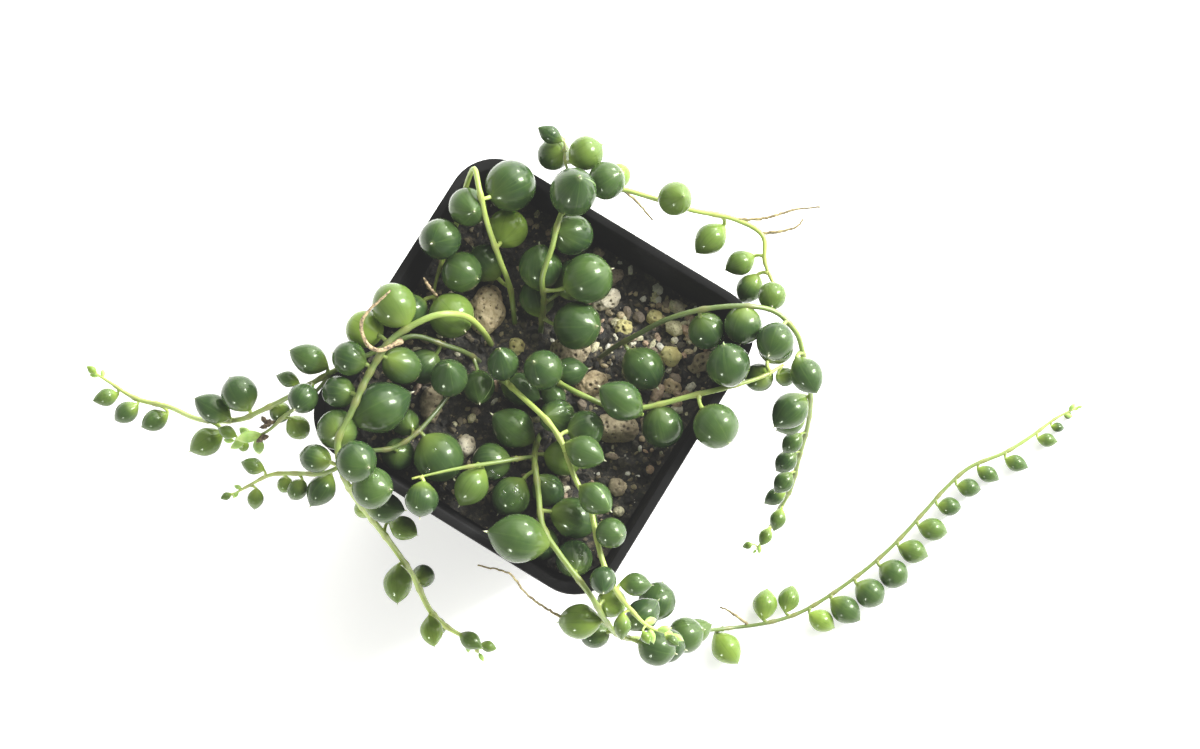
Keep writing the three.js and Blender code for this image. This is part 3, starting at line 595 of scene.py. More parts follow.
def settle(pearls):
    """Moves the pearls clear of each other, of the stems, the stones, the wall and the ground."""
    middles = np.array([pearl.middle for pearl in pearls])
    homes = middles.copy()
    roots = np.array([pearl.root for pearl in pearls])
    radii = np.array([pearl.radius for pearl in pearls])
    longest = radii + np.array([pearl.branch.stem for pearl in pearls]) + LONGEST_PETIOLE
    owners = np.array([pearl.strand for pearl in pearls])
    same = owners[:, None] == owners[None, :]
    pearl_rooms = radii[:, None] + radii[None, :] + np.where(same, CLEAR_OF_OWN, CLEAR_OF_OTHERS)
    np.fill_diagonal(pearl_rooms, 0)
    samples = [(place, branch) for branch in branches for place in branch.route.spaced(SAMPLE_STEP)[0]]
    stem_places = np.array([place for place, _ in samples])
    stem_radii = np.array([branch.stem for _, branch in samples])
    own = owners[:, None] == np.array([branch.strand for _, branch in samples])[None, :]
    stem_rooms = radii[:, None] + stem_radii[None, :] + np.where(own, -SINK_IN_OWN_STEM, CLEAR_OF_OTHERS)
    stones = np.array([(*at, soil_height(*at) + STONE_RISE * size[2]) for at, size, _ in STONES])
    stone_radii = np.array([max(size[:2]) / 2 for _, size, _ in STONES])
    stone_rooms = radii[:, None] + stone_radii[None, :] + CLEAR_OF_OTHERS
    for turn in range(SETTLE_ROUNDS):
        move = PEARL_SHARE * pushes(middles, middles, pearl_rooms)
        move += STEM_SHARE * pushes(middles, stem_places, stem_rooms)
        move += STEM_SHARE * pushes(middles, stones, stone_rooms)
        for i, middle in enumerate(middles):
            clear = CLEAR_OF_COLLAR if np.abs(middle[:2]).max() > RIM_ACROSS / 2 else CLEAR_OF_WALL
            room = (1 + TIP) * radii[i] + clear
            move[i] += WALL_SHARE * pushes(middle[None], nearest_on_wall(middle)[None], room)[0]
        middles += move
        if turn < PULL_ROUNDS:
            middles += PULL_HOME * (homes - middles)
        stalks = middles - roots
        reach = np.linalg.norm(stalks, axis=1)
        middles = roots + stalks * np.minimum(1, longest / reach)[:, None]
        inside = np.abs(middles[:, :2]).max(axis=1) < BODY_TOP_ACROSS / 2
        soil = soil_height(middles[:, 0], middles[:, 1]) + SOIL_LUMP + GAP
        middles[:, 2] = np.maximum(middles[:, 2], np.where(inside, soil, REST_HEIGHT) + radii)
    for pearl, middle in zip(pearls, middles):
        pearl.middle = middle


def set_axes(pearls):
    """Where each tip points: out from the stem and, more so on small pearls, on towards the growing end."""
    for pearl in pearls:
        axis = pearl.middle - pearl.root
        axis = axis / np.linalg.norm(axis)
        lean = TIP_LEANS.get(pearl.strand, {}).get(pearl.place)
        if lean:
            ahead, share = np.array([*lean, LEAN_RISE]), LEAN_SHARE
        else:
            ahead, share = pearl.branch.route.tangent(pearl.along), np.interp(pearl.radius, *FORWARD_LEAN)
        axis = axis * (1 - share) + ahead * share
        axis = axis / np.linalg.norm(axis)
        axis[2] = max(axis[2], (TIP_ABOVE_FLOOR - pearl.middle[2]) / (1.5 * pearl.radius))
        pearl.axis = axis / np.linalg.norm(axis)


# Helpers for modelling


def direction(compass, rise):
    """A way to look or shine from, by its compass direction and its rise, both in degrees."""
    turn, lift = math.radians(compass), math.radians(rise)
    return Vector((math.cos(turn) * math.cos(lift), math.sin(turn) * math.cos(lift), math.sin(lift)))


def linked(name, data):
    """A new object in the scene."""
    piece = bpy.data.objects.new(name, data)
    bpy.context.scene.collection.objects.link(piece)
    return piece


def select_only(*pieces):
    bpy.ops.object.select_all(action="DESELECT")
    for piece in pieces:
        piece.select_set(True)
    bpy.context.view_layer.objects.active = pieces[0]


def joined(pieces):
    select_only(*pieces)
    bpy.ops.object.join()
    return bpy.context.object


class Editing:
    """Edit mode, with all of a piece selected at its start."""

    def __init__(self, piece):
        self.piece = piece

    def __enter__(self):
        select_only(self.piece)
        bpy.ops.object.mode_set(mode="EDIT")
        bpy.ops.mesh.select_all(action="SELECT")

    def __exit__(self, *problem):
        bpy.ops.object.mode_set(mode="OBJECT")


def turn_outward():
    bpy.ops.mesh.select_all(action="SELECT")
    bpy.ops.mesh.normals_make_consistent(inside=False)


def choose(piece, kind, wanted):
    """In edit mode, selects only the vertices or edges that wanted accepts."""
    bpy.ops.mesh.select_mode(type={"verts": "VERT", "edges": "EDGE"}[kind])
    bpy.ops.mesh.select_all(action="DESELECT")
    shape = bmesh.from_edit_mesh(piece.data)
    for element in getattr(shape, kind):
        if wanted(element):
            element.select_set(True)
    shape.select_flush_mode()
    bmesh.update_edit_mesh(piece.data)


def apply_modifier(piece, kind, **settings):
    select_only(piece)
    modifier = piece.modifiers.new(kind.lower(), kind)
    for setting, value in settings.items():
        setattr(modifier, setting, value)
    bpy.ops.object.modifier_apply(modifier=modifier.name)


def finished(piece, name, material, slot, *nodes):
    """Names a piece, gives it its material, says what it rides on, and hides the imported parts it stands
    for.
    """
    piece.name = piece.data.name = name
    piece.data.materials.clear()
    piece.data.materials.append(material)
    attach(piece, "root")
    if nodes:
        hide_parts(*nodes)


def set_attribute(mesh, name, values):
    """One value for the whole mesh, or one for each vertex."""
    layer = mesh.attributes.new(name, "FLOAT", "POINT")
    layer.data.foreach_set("value", np.full(len(mesh.vertices), values, np.float32))


def coordinates(mesh, kind="co"):
    places = np.zeros(len(mesh.vertices) * 3)
    mesh.vertices.foreach_get(kind, places)
    return places.reshape(-1, 3)


def set_coordinates(mesh, places):
    mesh.vertices.foreach_set("co", np.asarray(places, float).ravel())
    mesh.update()


def standing(middle, axis, size, roll=0.0):
    """The matrix of a model that stands at a middle with its own Z along an axis, in millimetres."""
    turn = Vector(axis).to_track_quat("Z", "Y").to_matrix().to_4x4()
    scale = Matrix.Diagonal((*(Vector(size) * MM), 1))
    return Matrix.Translation(Vector(middle) * MM) @ turn @ Matrix.Rotation(roll, 4, "Z") @ scale


def placed(model, matrix):
    """A copy of a model with its own mesh, its place in its mesh."""
    copy = linked(model.name, model.data.copy())
    copy.data.transform(matrix)
    return copy


def drawn_tubes(name, lines, material, slot, *nodes, sides=3):
    """A piece of round tubes with closed ends. A line is points, radii, and how grown each point is."""
    drawing = bpy.data.curves.new(name, "CURVE")
    drawing.dimensions = "3D"
    drawing.bevel_depth = MM
    drawing.bevel_resolution = sides
    drawing.use_fill_caps = True
    for points, radii, _ in lines:
        spline = drawing.splines.new("POLY")
        spline.points.add(len(points) - 1)
        for knot, place, radius in zip(spline.points, points, radii):
            knot.co = (*(np.asarray(place) * MM), 1)
            knot.radius = radius
    select_only(linked(name, drawing))
    bpy.ops.object.convert(target="MESH")
    piece = bpy.context.object
    with Editing(piece):
        bpy.ops.mesh.remove_doubles(threshold=0.002 * MM)
        turn_outward()
    bpy.ops.object.shade_smooth()
    places = np.concatenate([np.asarray(points, float) for points, _, _ in lines])
    growth = np.concatenate([np.asarray(grown, float) for _, _, grown in lines])
    tree = kdtree.KDTree(len(places))
    for index, place in enumerate(places):
        tree.insert(Vector(place) * MM, index)
    tree.balance()
    nearest = [tree.find(vertex.co)[1] for vertex in piece.data.vertices]
    set_attribute(piece.data, "growth", growth[nearest])
    finished(piece, name, material, slot, *nodes)
    return piece


# Helpers for materials


class Nodes:
    """The nodes of a material, or of the sky."""

    def __init__(self, tree, kind):
        self.tree = tree
        self.shader = next(node for node in tree.nodes if node.type == kind)

    def add(self, kind, settings=(), **inputs):
        node = self.tree.nodes.new("ShaderNode" + kind)
        for setting, value in dict(settings).items():
            setattr(node, setting, value)
        for socket, value in inputs.items():
            self.join(value, node.inputs[socket.replace("_", " ")])
        return node

    def join(self, value, socket):
        if isinstance(value, bpy.types.NodeSocket):
            self.tree.links.new(value, socket)
        else:
            socket.default_value = value

    def math(self, operation, first, second=0.0):
        node = self.add("Math", {"operation": operation})
        self.join(first, node.inputs[0])
        self.join(second, node.inputs[1])
        return node.outputs[0]

    def product(self, first, *others):
        for other in others:
            first = self.math("MULTIPLY", first, other)
        return first

    def span(self, value, low, high, start=0.0, end=1.0):
        """Value from low to high becomes start to end, smoothly, and no further."""
        node = self.add(
            "MapRange", {"interpolation_type": "SMOOTHSTEP"}, Value=value, From_Min=low, From_Max=high,
            To_Min=start, To_Max=end)
        return node.outputs[0]


class Finish(Nodes):
    """A material in the making. Each new colour covers the ones before it by a share."""

    def __init__(self, name, **constants):
        self.material = bpy.data.materials.new(name)
        self.material.use_nodes = True
        super().__init__(self.material.node_tree, "BSDF_PRINCIPLED")
        for socket, value in constants.items():
            self.shader.inputs[socket.replace("_", " ")].default_value = value
        self.place = self.add("TexCoord").outputs["Object"]

    def noise(self, per_mm, detail=3, roughness=0.5, place=None):
        """A cloudy pattern with so many lumps a millimetre."""
        node = self.add(
            "TexNoise", Vector=place or self.place, Scale=per_mm / MM, Detail=detail, Roughness=roughness)
        return node.outputs["Fac"]

    def attribute(self, name):
        return self.add("Attribute", {"attribute_name": name}).outputs["Fac"]

    def uv(self):
        parts = self.add("SeparateXYZ", Vector=self.add("TexCoord").outputs["UV"])
        return parts.outputs["X"], parts.outputs["Y"]

    def paint(self, colour):
        self.tint = colour
        self.join(colour, self.shader.inputs["Base Color"])

    def ramp(self, value, *stops):
        """Paints by a value, from the colour of one stop to the next."""
        node = self.add("ValToRGB", Fac=value)
        steps = node.color_ramp.elements
        while len(steps) < len(stops):
            steps.new(0.5)
        for step, (position, colour) in zip(steps, stops):
            step.position = position
            step.color = (*colour, 1)
        self.paint(node.outputs["Color"])

    def over(self, share, colour, base=None):
        """Covers what is painted, or a base colour, by a share with another colour."""
        node = self.add("Mix", {"data_type": "RGBA"})
        self.join(share, node.inputs["Factor"])
        self.join((*base, 1) if base else self.tint, node.inputs[6])
        self.join((*colour, 1), node.inputs[7])
        self.paint(node.outputs[2])

    def roughness(self, pattern, low, high):
        self.join(self.span(pattern, 0.3, 0.7, low, high), self.shader.inputs["Roughness"])

    def bump(self, height, depth, strength=1.0):
        node = self.add("Bump", Height=height, Distance=depth * MM, Strength=strength)
        self.join(node.outputs["Normal"], self.shader.inputs["Normal"])


# Materials


def pearl_skin():
    """Waxy green skin: faint veins, paler at the stalk, a window line on some, a dry tip."""
    skin = Finish(
        "pearl_skin", Subsurface_Weight=0.3, Subsurface_Radius=(0.6, 1.0, 0.3), Subsurface_Scale=1.4 * MM,
        Specular_IOR_Level=0.24, Specular_Tint=(0.8, 1, 0.6, 1), Coat_Weight=0.22, Coat_Roughness=0.12)
    around, height = skin.uv()
    deep, lively, lime = (0.025, 0.053, 0.017), (0.047, 0.088, 0.024), (0.18, 0.28, 0.040)
    # Each pearl's tone: on the dark pearls it is painted shade, on some lime ones partly painted light.
    skin.ramp(skin.attribute("tone"), (0.0, deep), (0.6, lively), (1.0, lime))
    skin.over(skin.span(skin.noise(0.16, detail=2), 0.4, 0.7, 0, 0.4), (0.070, 0.128, 0.023))
    turn = skin.product(around, math.tau)
    circle = skin.add("CombineXYZ", X=skin.math("COSINE", turn), Y=skin.math("SINE", turn), Z=height)
    veins = skin.add("Mapping", Vector=circle.outputs[0], Scale=(5.5, 5.5, 0.9))
    vein = skin.add("TexNoise", Vector=veins.outputs[0], Scale=1.6, Detail=4.0).outputs["Fac"]
    skin.over(skin.span(vein, 0.52, 0.75, 0, 0.2), (0.12, 0.20, 0.045))
    skin.over(skin.span(vein, 0.30, 0.48, 0.2, 0), (0.014, 0.036, 0.010))
    off_line = skin.math("ABSOLUTE", skin.math("SUBTRACT", around, 0.5))
    window = skin.span(off_line, 0.003, 0.014, 1, 0)
    reach = skin.product(skin.span(height, 0.35, 0.5), skin.span(height, 0.84, 0.95, 1, 0))
    skin.over(skin.product(window, reach, skin.attribute("window")), (0.26, 0.38, 0.15))
    neck = skin.product(skin.span(height, 0.0, 0.42, 1, 0), skin.attribute("pale_neck"))
    skin.over(neck, (0.28, 0.40, 0.06))
    skin.over(skin.span(height, 0.93, 1.0, 0, 0.35), (0.30, 0.38, 0.16))
    skin.over(skin.attribute("spine"), (0.62, 0.66, 0.42))
    skin.roughness(skin.noise(1.1, detail=3), 0.14, 0.22)
    skin.bump(skin.math("ADD", skin.noise(0.8, detail=4), skin.product(vein, 0.4)), 0.05, 0.55)
    return skin.material


def new_leaf_skin():
    """Tiny new leaves: pale lime, greener towards the stalk, with whitish tips."""
    skin = Finish(
        "new_leaf_skin", Roughness=0.35, Subsurface_Weight=0.3, Subsurface_Radius=(0.8, 1.0, 0.3),
        Subsurface_Scale=0.5 * MM, Specular_IOR_Level=0.3)
    _, height = skin.uv()
    skin.ramp(height, (0.0, (0.50, 0.68, 0.16)), (0.6, (0.34, 0.56, 0.12)), (1.0, (0.66, 0.78, 0.30)))
    skin.over(skin.span(skin.noise(1.5, detail=3), 0.4, 0.7, 0, 0.4), (0.22, 0.42, 0.09))
    skin.over(skin.attribute("spine"), (0.80, 0.82, 0.55))
    return skin.material


def stem_skin():
    """Smooth pale yellow-green stem: olive where it is old, lime at its tip, flushed at the nodes."""
    skin = Finish(
        "stem_skin", Subsurface_Weight=0.25, Subsurface_Radius=(0.8, 1.0, 0.3), Subsurface_Scale=0.6 * MM,
        Coat_Weight=0.15, Coat_Roughness=0.2)
    # The growth ramp also carries painted light: stretches of stem that stand in the light have raised
    # growth, so they are painted paler.
    skin.ramp(
        skin.attribute("growth"), (0.0, (0.052, 0.066, 0.026)), (0.15, (0.094, 0.146, 0.034)),
        (0.45, (0.26, 0.36, 0.074)), (1.0, (0.56, 0.70, 0.15)))
    along, around = skin.uv()
    lines = skin.add("CombineXYZ", X=skin.product(along, 6.0), Y=skin.product(around, 22.0))
    line = skin.add("TexNoise", Vector=lines.outputs[0], Scale=1.0, Detail=2.0).outputs["Fac"]
    skin.over(skin.span(line, 0.35, 0.75, 0, 0.5), (0.12, 0.17, 0.036))
    skin.over(skin.span(skin.noise(0.22, detail=3), 0.55, 0.75, 0, 0.25), (0.14, 0.17, 0.05))
    skin.over(skin.product(skin.attribute("node"), 0.4), (0.30, 0.19, 0.08))
    skin.roughness(skin.noise(2.5), 0.32, 0.5)
    skin.bump(skin.math("ADD", line, skin.noise(3.0)), 0.05, 0.6)
    return skin.material


def dry_skin(name, pale, dark):
    """Dry root or withered leaf: rough, banded and brown."""
    skin = Finish(name)
    bands = skin.noise(1.4, detail=4, roughness=0.6)
    skin.over(skin.span(bands, 0.35, 0.65), pale, base=dark)
    skin.over(skin.span(skin.attribute("growth"), 0.75, 1.0, 0, 0.7), dark)
    skin.roughness(bands, 0.65, 0.9)
    skin.bump(skin.noise(5.0, detail=4), 0.06)
    return skin.material


def pot_plastic():
    """Thin charcoal plastic: fine moulded grain, faint scuffs, and dust where soil has brushed it."""
    plastic = Finish("charcoal_plastic", Specular_IOR_Level=0.04)
    cloud = plastic.noise(0.05, detail=5, roughness=0.6)
    plastic.over(plastic.span(cloud, 0.35, 0.7), (0.012, 0.012, 0.012), base=(0.007, 0.007, 0.007))
    turned = plastic.add("Mapping", Vector=plastic.place, Scale=(1.0, 1.0, 0.06))
    scuff = plastic.noise(1.1, detail=5, roughness=0.7, place=turned.outputs[0])
    plastic.over(plastic.span(scuff, 0.62, 0.8, 0, 0.3), (0.045, 0.045, 0.044))
    dust = plastic.noise(0.9, detail=6, roughness=0.75)
    height = plastic.add("SeparateXYZ", Vector=plastic.place).outputs["Z"]
    inside_rim = plastic.span(height, 50 * MM, 56 * MM, 0.75, 0.15)
    plastic.over(plastic.product(plastic.span(dust, 0.60, 0.72), inside_rim), (0.060, 0.054, 0.040))
    plastic.roughness(plastic.noise(0.6, detail=4), 0.42, 0.62)
    plastic.bump(plastic.math("ADD", plastic.noise(6.0, detail=2), plastic.product(scuff, 0.6)), 0.02, 0.7)
    return plastic.material


def peat(name, tone_from_attribute):
    """Dark potting soil: near black, with browner crumbs."""
    soil = Finish(name, Specular_IOR_Level=0.3)
    lumps = soil.noise(0.8, detail=6, roughness=0.75)
    soil.ramp(
        soil.attribute("tone") if tone_from_attribute else soil.span(lumps, 0.33, 0.80),
        (0.0, (0.016, 0.016, 0.015)), (0.3, (0.030, 0.029, 0.025)), (0.55, (0.078, 0.070, 0.049)),
        (0.8, (0.17, 0.142, 0.086)), (1.0, (0.42, 0.35, 0.21)))
    fine = soil.noise(4.0, detail=5, roughness=0.7)
    soil.over(soil.span(fine, 0.45, 0.75, 0, 0.35), (0.105, 0.100, 0.078))
    soil.roughness(fine, 0.7, 0.95)
    soil.bump(soil.math("ADD", fine, soil.noise(1.6, detail=5)), 0.22)
    return soil.material


PUMICE_COLOURS = {
    "pink": ((0.62, 0.51, 0.31), (0.38, 0.29, 0.16)),
    "yellow": ((0.70, 0.66, 0.29), (0.46, 0.40, 0.15)),
    "white": ((0.80, 0.75, 0.58), (0.54, 0.47, 0.32)),
    "brown": ((0.40, 0.34, 0.21), (0.22, 0.18, 0.11)),
}


def pumice(kind):
    """Rough porous stone, with painted shade in its pits and pores."""
    pale, dark = PUMICE_COLOURS[kind]
    stone = Finish("pumice_" + kind, Roughness=0.9, Specular_IOR_Level=0.25)
    cloud = stone.noise(0.5, detail=5, roughness=0.65)
    stone.over(stone.span(cloud, 0.35, 0.7), pale, base=dark)
    grain = stone.noise(3.5, detail=4, roughness=0.7)
    stone.over(stone.span(grain, 0.56, 0.72, 0, 0.5), dark)
    # Dark specks at the pores and dark colour down in the pits stand for the shade in these hollows: painted
    # shade.
    cells = stone.add("TexVoronoi", Vector=stone.place, Scale=1.5 / MM).outputs["Distance"]
    speck = stone.product(stone.span(cells, 0.10, 0.26, 1, 0), stone.span(cloud, 0.42, 0.55))
    stone.over(speck, (0.035, 0.026, 0.02))
    stone.over(stone.product(stone.attribute("pit"), 0.85), (0.04, 0.03, 0.022))
    stone.bump(stone.math("SUBTRACT", grain, speck), 0.12)
    return stone.material


def grit_mix():
    """Small grit of many kinds, the kind told by each grain's tone."""
    grit = Finish("grit_mix", Roughness=0.9, Specular_IOR_Level=0.3)
    grit.ramp(
        grit.attribute("tone"),
        (0.0, (0.13, 0.11, 0.085)), (0.2, (0.34, 0.27, 0.19)), (0.4, (0.52, 0.36, 0.24)),
        (0.6, (0.54, 0.51, 0.29)), (0.8, (0.64, 0.61, 0.41)), (1.0, (0.74, 0.72, 0.60)))
    grain = grit.noise(2.4, detail=5, roughness=0.7)
    grit.over(grit.span(grain, 0.48, 0.66, 0, 0.65), (0.06, 0.045, 0.03))
    grit.bump(grain, 0.12)
    return grit.material


def perlite():
    """Small white grains, bright and a little grubby."""
    white = Finish("perlite_white", Roughness=0.75)
    grain = white.noise(2.8, detail=5, roughness=0.7)
    white.over(white.attribute("tone"), (0.76, 0.74, 0.64), base=(0.38, 0.37, 0.30))
    white.over(white.span(grain, 0.5, 0.7, 0, 0.6), (0.30, 0.27, 0.24))
    white.bump(grain, 0.1)
    return white.material


def clear_water():
    drop = Finish(
        "clear_water", Roughness=0.0, IOR=1.4, Transmission_Weight=1.0, Coat_Weight=1.0, Coat_Roughness=0.0)
    drop.over(drop.noise(0.8, detail=1), (1.0, 1.0, 1.0), base=(0.95, 0.98, 0.96))
    return drop.material


# Pearls


def model_pearl(tip, tip_reach, neck, neck_reach):
    """A pearl of radius 1 round the origin, drawn into a neck at -Z and to a tip with a spine at +Z."""
    bpy.ops.mesh.primitive_cone_add(
        vertices=8, radius1=SPINE_RADIUS, radius2=SPINE_END, depth=SPINE, end_fill_type="NGON")
    spine = bpy.context.object
    spine.data.transform(Matrix.Translation((0, 0, 1 + tip + 0.4 * SPINE)))
    set_attribute(spine.data, "spine", 1)
    bpy.ops.mesh.primitive_uv_sphere_add(segments=28, ring_count=20, radius=1)
    pearl = bpy.context.object
    with Editing(pearl):
        for end, shift, reach in ((1, tip, tip_reach), (-1, -neck, neck_reach)):
            choose(pearl, "verts", lambda vertex: vertex.co.z * end > POLE)
            bpy.ops.transform.translate(
                value=(0, 0, shift), use_proportional_edit=True, proportional_edit_falloff="SHARP",
                proportional_size=reach)
    set_attribute(pearl.data, "spine", 0)
    pearl = joined([pearl, spine])
    bpy.ops.object.shade_smooth()
    return pearl


def lumped(mesh, middle, radius, seed):
    """Pushes a pearl's skin in and out a little, so that no two are alike."""
    for vertex in mesh.vertices:
        away = vertex.co - middle
        swell = noise.noise(away / radius * LUMP_PITCH + Vector((seed, seed * 0.7, 0)))
        vertex.co += away * swell * LUMP_DEPTH


def make_pearls(pearls, draw, material):
    models = {
        "round": model_pearl(0.07, 0.6, 0.14, 0.7),
        "pointed": model_pearl(0.30, 1.2, 0.30, 1.0),
        "young": model_pearl(0.48, 1.25, 0.42, 1.1),
    }
    copies = {strand: [] for strand in strands}
    for number, pearl in enumerate(pearls):
        strand, place, across = pearl.strand, pearl.place, pearl.across
        if across < YOUNG_BELOW:
            form = "young"
        elif place in TIP_LEANS.get(strand, {}) or draw.random() < np.interp(across, *POINTED_CHANCE):
            form = "pointed"
        else:
            form = "round"
        if place in ROUND_PEARLS.get(strand, []):
            form = "round"
        stretch = np.array([draw.uniform(0.97, 1.03), draw.uniform(0.97, 1.03), draw.uniform(0.97, 1.02)])
        if form != "round":
            stretch *= SLIM
        roll = draw.uniform(0, math.tau)
        copy = placed(models[form], standing(pearl.middle, pearl.axis, pearl.radius * stretch, roll))
        lumped(copy.data, Vector(pearl.middle) * MM, pearl.radius * MM, number)
        usual = draw.uniform(0.05, 0.6) + (SMALL_PEARL_TONE if across < SMALL_PEARL else 0)
        # Dark pearls get painted shade; lime ones are partly painted light.
        dark = place in DARK_AND_SHADED_PEARLS.get(strand, [])
        set_attribute(copy.data, "tone", 0 if dark else LIME_AND_LIT_PEARLS.get(strand, {}).get(place, usual))
        set_attribute(copy.data, "pale_neck", np.interp(across, *PALE_NECK) * (SHADED_PEARL_NECK if dark else 1))
        set_attribute(copy.data, "window", draw.uniform(0.4, 1) if draw.random() < WINDOW_CHANCE else 0)
        copies[strand].append(copy)
    for model in models.values():
        bpy.data.objects.remove(model)
    for strand, grown in copies.items():
        finished(joined(grown), "pearls_" + strand, material, "pearl_leaf", "strand_" + strand)


# Stems


def stem_lines(branch, pearls):
    """The tubes of one stem and of the stalks of its pearls."""
    route, strand = branch.route, branch.strand
    stem = branch.stem * SLENDER.get(strand, SLENDER_REST)
    points, alongs = route.spaced(STEM_STEP)
    own = [pearl for pearl in pearls if pearl.branch is branch]
    radii = np.full(len(points), float(stem))
    for pearl in own:
        radii += stem * NODE_SWELL * np.exp(-(((alongs - pearl.along) / NODE_REACH) ** 2))
    radii = np.minimum(radii, stem * NODE_LIMIT)
    radii *= END_SHARE + (1 - END_SHARE) * np.minimum(1, (route.length - alongs) / END_REACH)
    if strand in SLENDER_END:
        radii *= np.interp(alongs, *SLENDER_END[strand])
    is_shoot = branch.stem == SHOOT_RADIUS
    old = 0 if is_shoot else OLD_REACH[strand]
    grown = max(old + AGE_RAMP, 0.55 * route.length)
    late = max(grown + 2, 0.86 * route.length)
    growth = np.interp(
        alongs, (0, old, old + AGE_RAMP, grown, late, route.length), (0, 0.15, 0.4, 0.45, 0.55, 1))
    if not is_shoot:
        # Raised growth along the pale reaches paints the stem paler, partly painted light where it stands in
        # the light; the dull reaches make it darker.
        for change, reaches in ((PALER, PALE_AND_LIT_REACH), (DULLER, DULL_REACH)):
            for low, high in reaches.get(strand, ()):
                reach = (low - AGE_RAMP, low, high, high + AGE_RAMP_DOWN)
                growth += change * np.interp(alongs, reach, (0, 1, 1, 0))
        growth = np.maximum(growth, 0)
    lines = [(points, radii, growth)]
    for pearl in own:
        neck = pearl.middle - pearl.axis * pearl.radius * STALK_FROM_MIDDLE
        back = np.dot(neck - pearl.root, route.tangent(pearl.along)) * STALK_DRAWN_BACK
        start = route.at(min(max(pearl.along + back, 0), route.length))
        bend = neck - pearl.axis * np.linalg.norm(neck - start) * 0.5
        shares = np.linspace(0, 1, len(STALK_SWELL))[:, None]
        stalk = start * (1 - shares) ** 2 + bend * 2 * shares * (1 - shares) + neck * shares ** 2
        thick = min(THICKEST_STALK, STALK_TO_PEARL * pearl.radius + STALK_LEAST)
        age = np.interp(pearl.along, alongs, growth) + STALK_PALER
        lines.append((stalk, thick * np.array(STALK_SWELL), np.full(len(STALK_SWELL), age)))
    return lines


def make_stems(pearls, material):
    for strand in strands:
        own = [branch for branch in branches if branch.strand == strand]
        lines = [line for branch in own for line in stem_lines(branch, pearls)]
        stem = drawn_tubes("stem_" + strand, lines, material, "stem", "strand_" + strand)
        nodes = np.array([pearl.root for pearl in pearls if pearl.strand == strand]) * MM
        nearest = np.min(np.linalg.norm(coordinates(stem.data)[:, None] - nodes[None], axis=2), axis=1)
        set_attribute(stem.data, "node", np.clip(1 - nearest / (NODE_FLUSH * MM), 0, 1))


def jittered(points, draw, amount):
    return points + np.array([[draw.gauss(0, amount) for _ in range(3)] for _ in points])


def make_roots(draw, material):
    for strand, roots in ROOTS.items():
        lines = []
        for root in roots:
            points, alongs = Route(root).spaced(0.6)
            places = jittered(points, draw, 0.06)
            radii = np.linspace(0.34, 0.16, len(points)) * np.array([draw.uniform(0.85, 1.2) for _ in points])
            lines.append((places, radii, alongs / alongs[-1]))
        drawn_tubes("roots_" + strand, lines, material, "dry_root", sides=2)


# Small things on the plant

NEXT_LEAF = 137.5
FIRST_LEAF = 40


def make_tip_leaves(draw, material):
    """Bundles of tiny new leaves at the growing tips."""
    leaf = model_pearl(0.5, 1.3, 0.5, 1.3)
    leaves = []
    for (strand, order), (count, long) in GROWING_TIPS.items():
        route = [branch for branch in branches if branch.strand == strand][order].route
        for number in range(count):
            along = route.length - number * 0.45 * long
            tangent = route.tangent(along)
            side = side_direction(tangent, NEXT_LEAF * number + FIRST_LEAF)
            axis = Vector(tangent + side * (0.25 + 0.22 * number)).normalized()
            size = long * draw.uniform(0.8, 1.1) * (0.8 + 0.1 * number) / 2
            middle = Vector(route.at(along)) + axis * size * 1.15
            leaves.append(placed(leaf, standing(middle, axis, (0.46 * size, 0.38 * size, size / 1.5))))
    bpy.data.objects.remove(leaf)
    finished(joined(leaves), "tip_leaves", material, "pearl_leaf")


def make_water_drops(pearls, draw, material):
    """Drops that sit on the pearls' skin, flattened against it."""
    bpy.ops.mesh.primitive_uv_sphere_add(segments=16, ring_count=10, radius=1)
    drop = bpy.context.object
    drops = []
    for pearl in pearls:
        for right, up, size in WATER_DROPS.get((pearl.strand, pearl.place), []):
            out = Vector((right, up, math.sqrt(max(0.02, 1 - right * right - up * up))))
            out.rotate(Matrix.Rotation(math.radians(AZIMUTH), 3, "Z"))
            long = draw.uniform(0.85, 1.2)
            size *= DROP_SPREAD
            middle = Vector(pearl.middle) + out * pearl.radius
            drops.append(placed(drop, standing(middle, out, (size * long, size / long, size * DROP_HEIGHT))))
    bpy.data.objects.remove(drop)
    water = joined(drops)
    bpy.ops.object.shade_smooth()
    water.visible_shadow = False
    finished(water, "water_drops", material, "water")


def make_dry_parts(draw, material):
    """The dried, curled tendril on the arch, the papery base of an old leaf, and withered bits."""
    points, alongs = Route(DRY_TENDRIL).spaced(0.5)
    points = jittered(points, draw, 0.03)
    shares = alongs / alongs[-1]
    radii = np.interp(shares, (0, 0.1, 0.6, 1), (0.6, 0.42, 0.34, 0.16))
    radii *= [draw.uniform(0.92, 1.08) for _ in points]
    lines = [(points, radii, shares * 0.6)]
    for route, thick, growth in WITHERED:
        places, along = Route(route).spaced(0.25)
        swell = thick * (0.25 + np.sin(along / along[-1] * math.pi) ** 0.7)
        swell *= [draw.uniform(0.7, 1.3) for _ in places]
        lines.append((places, swell, np.full(len(places), growth)))
    drawn_tubes("dry_parts", lines, material, "dry_root", sides=2)


# Pot and soil


def resize(across, height=1.0, around=(0, 0, 0)):
    bpy.ops.transform.resize(value=(across, across, height), center_override=around)


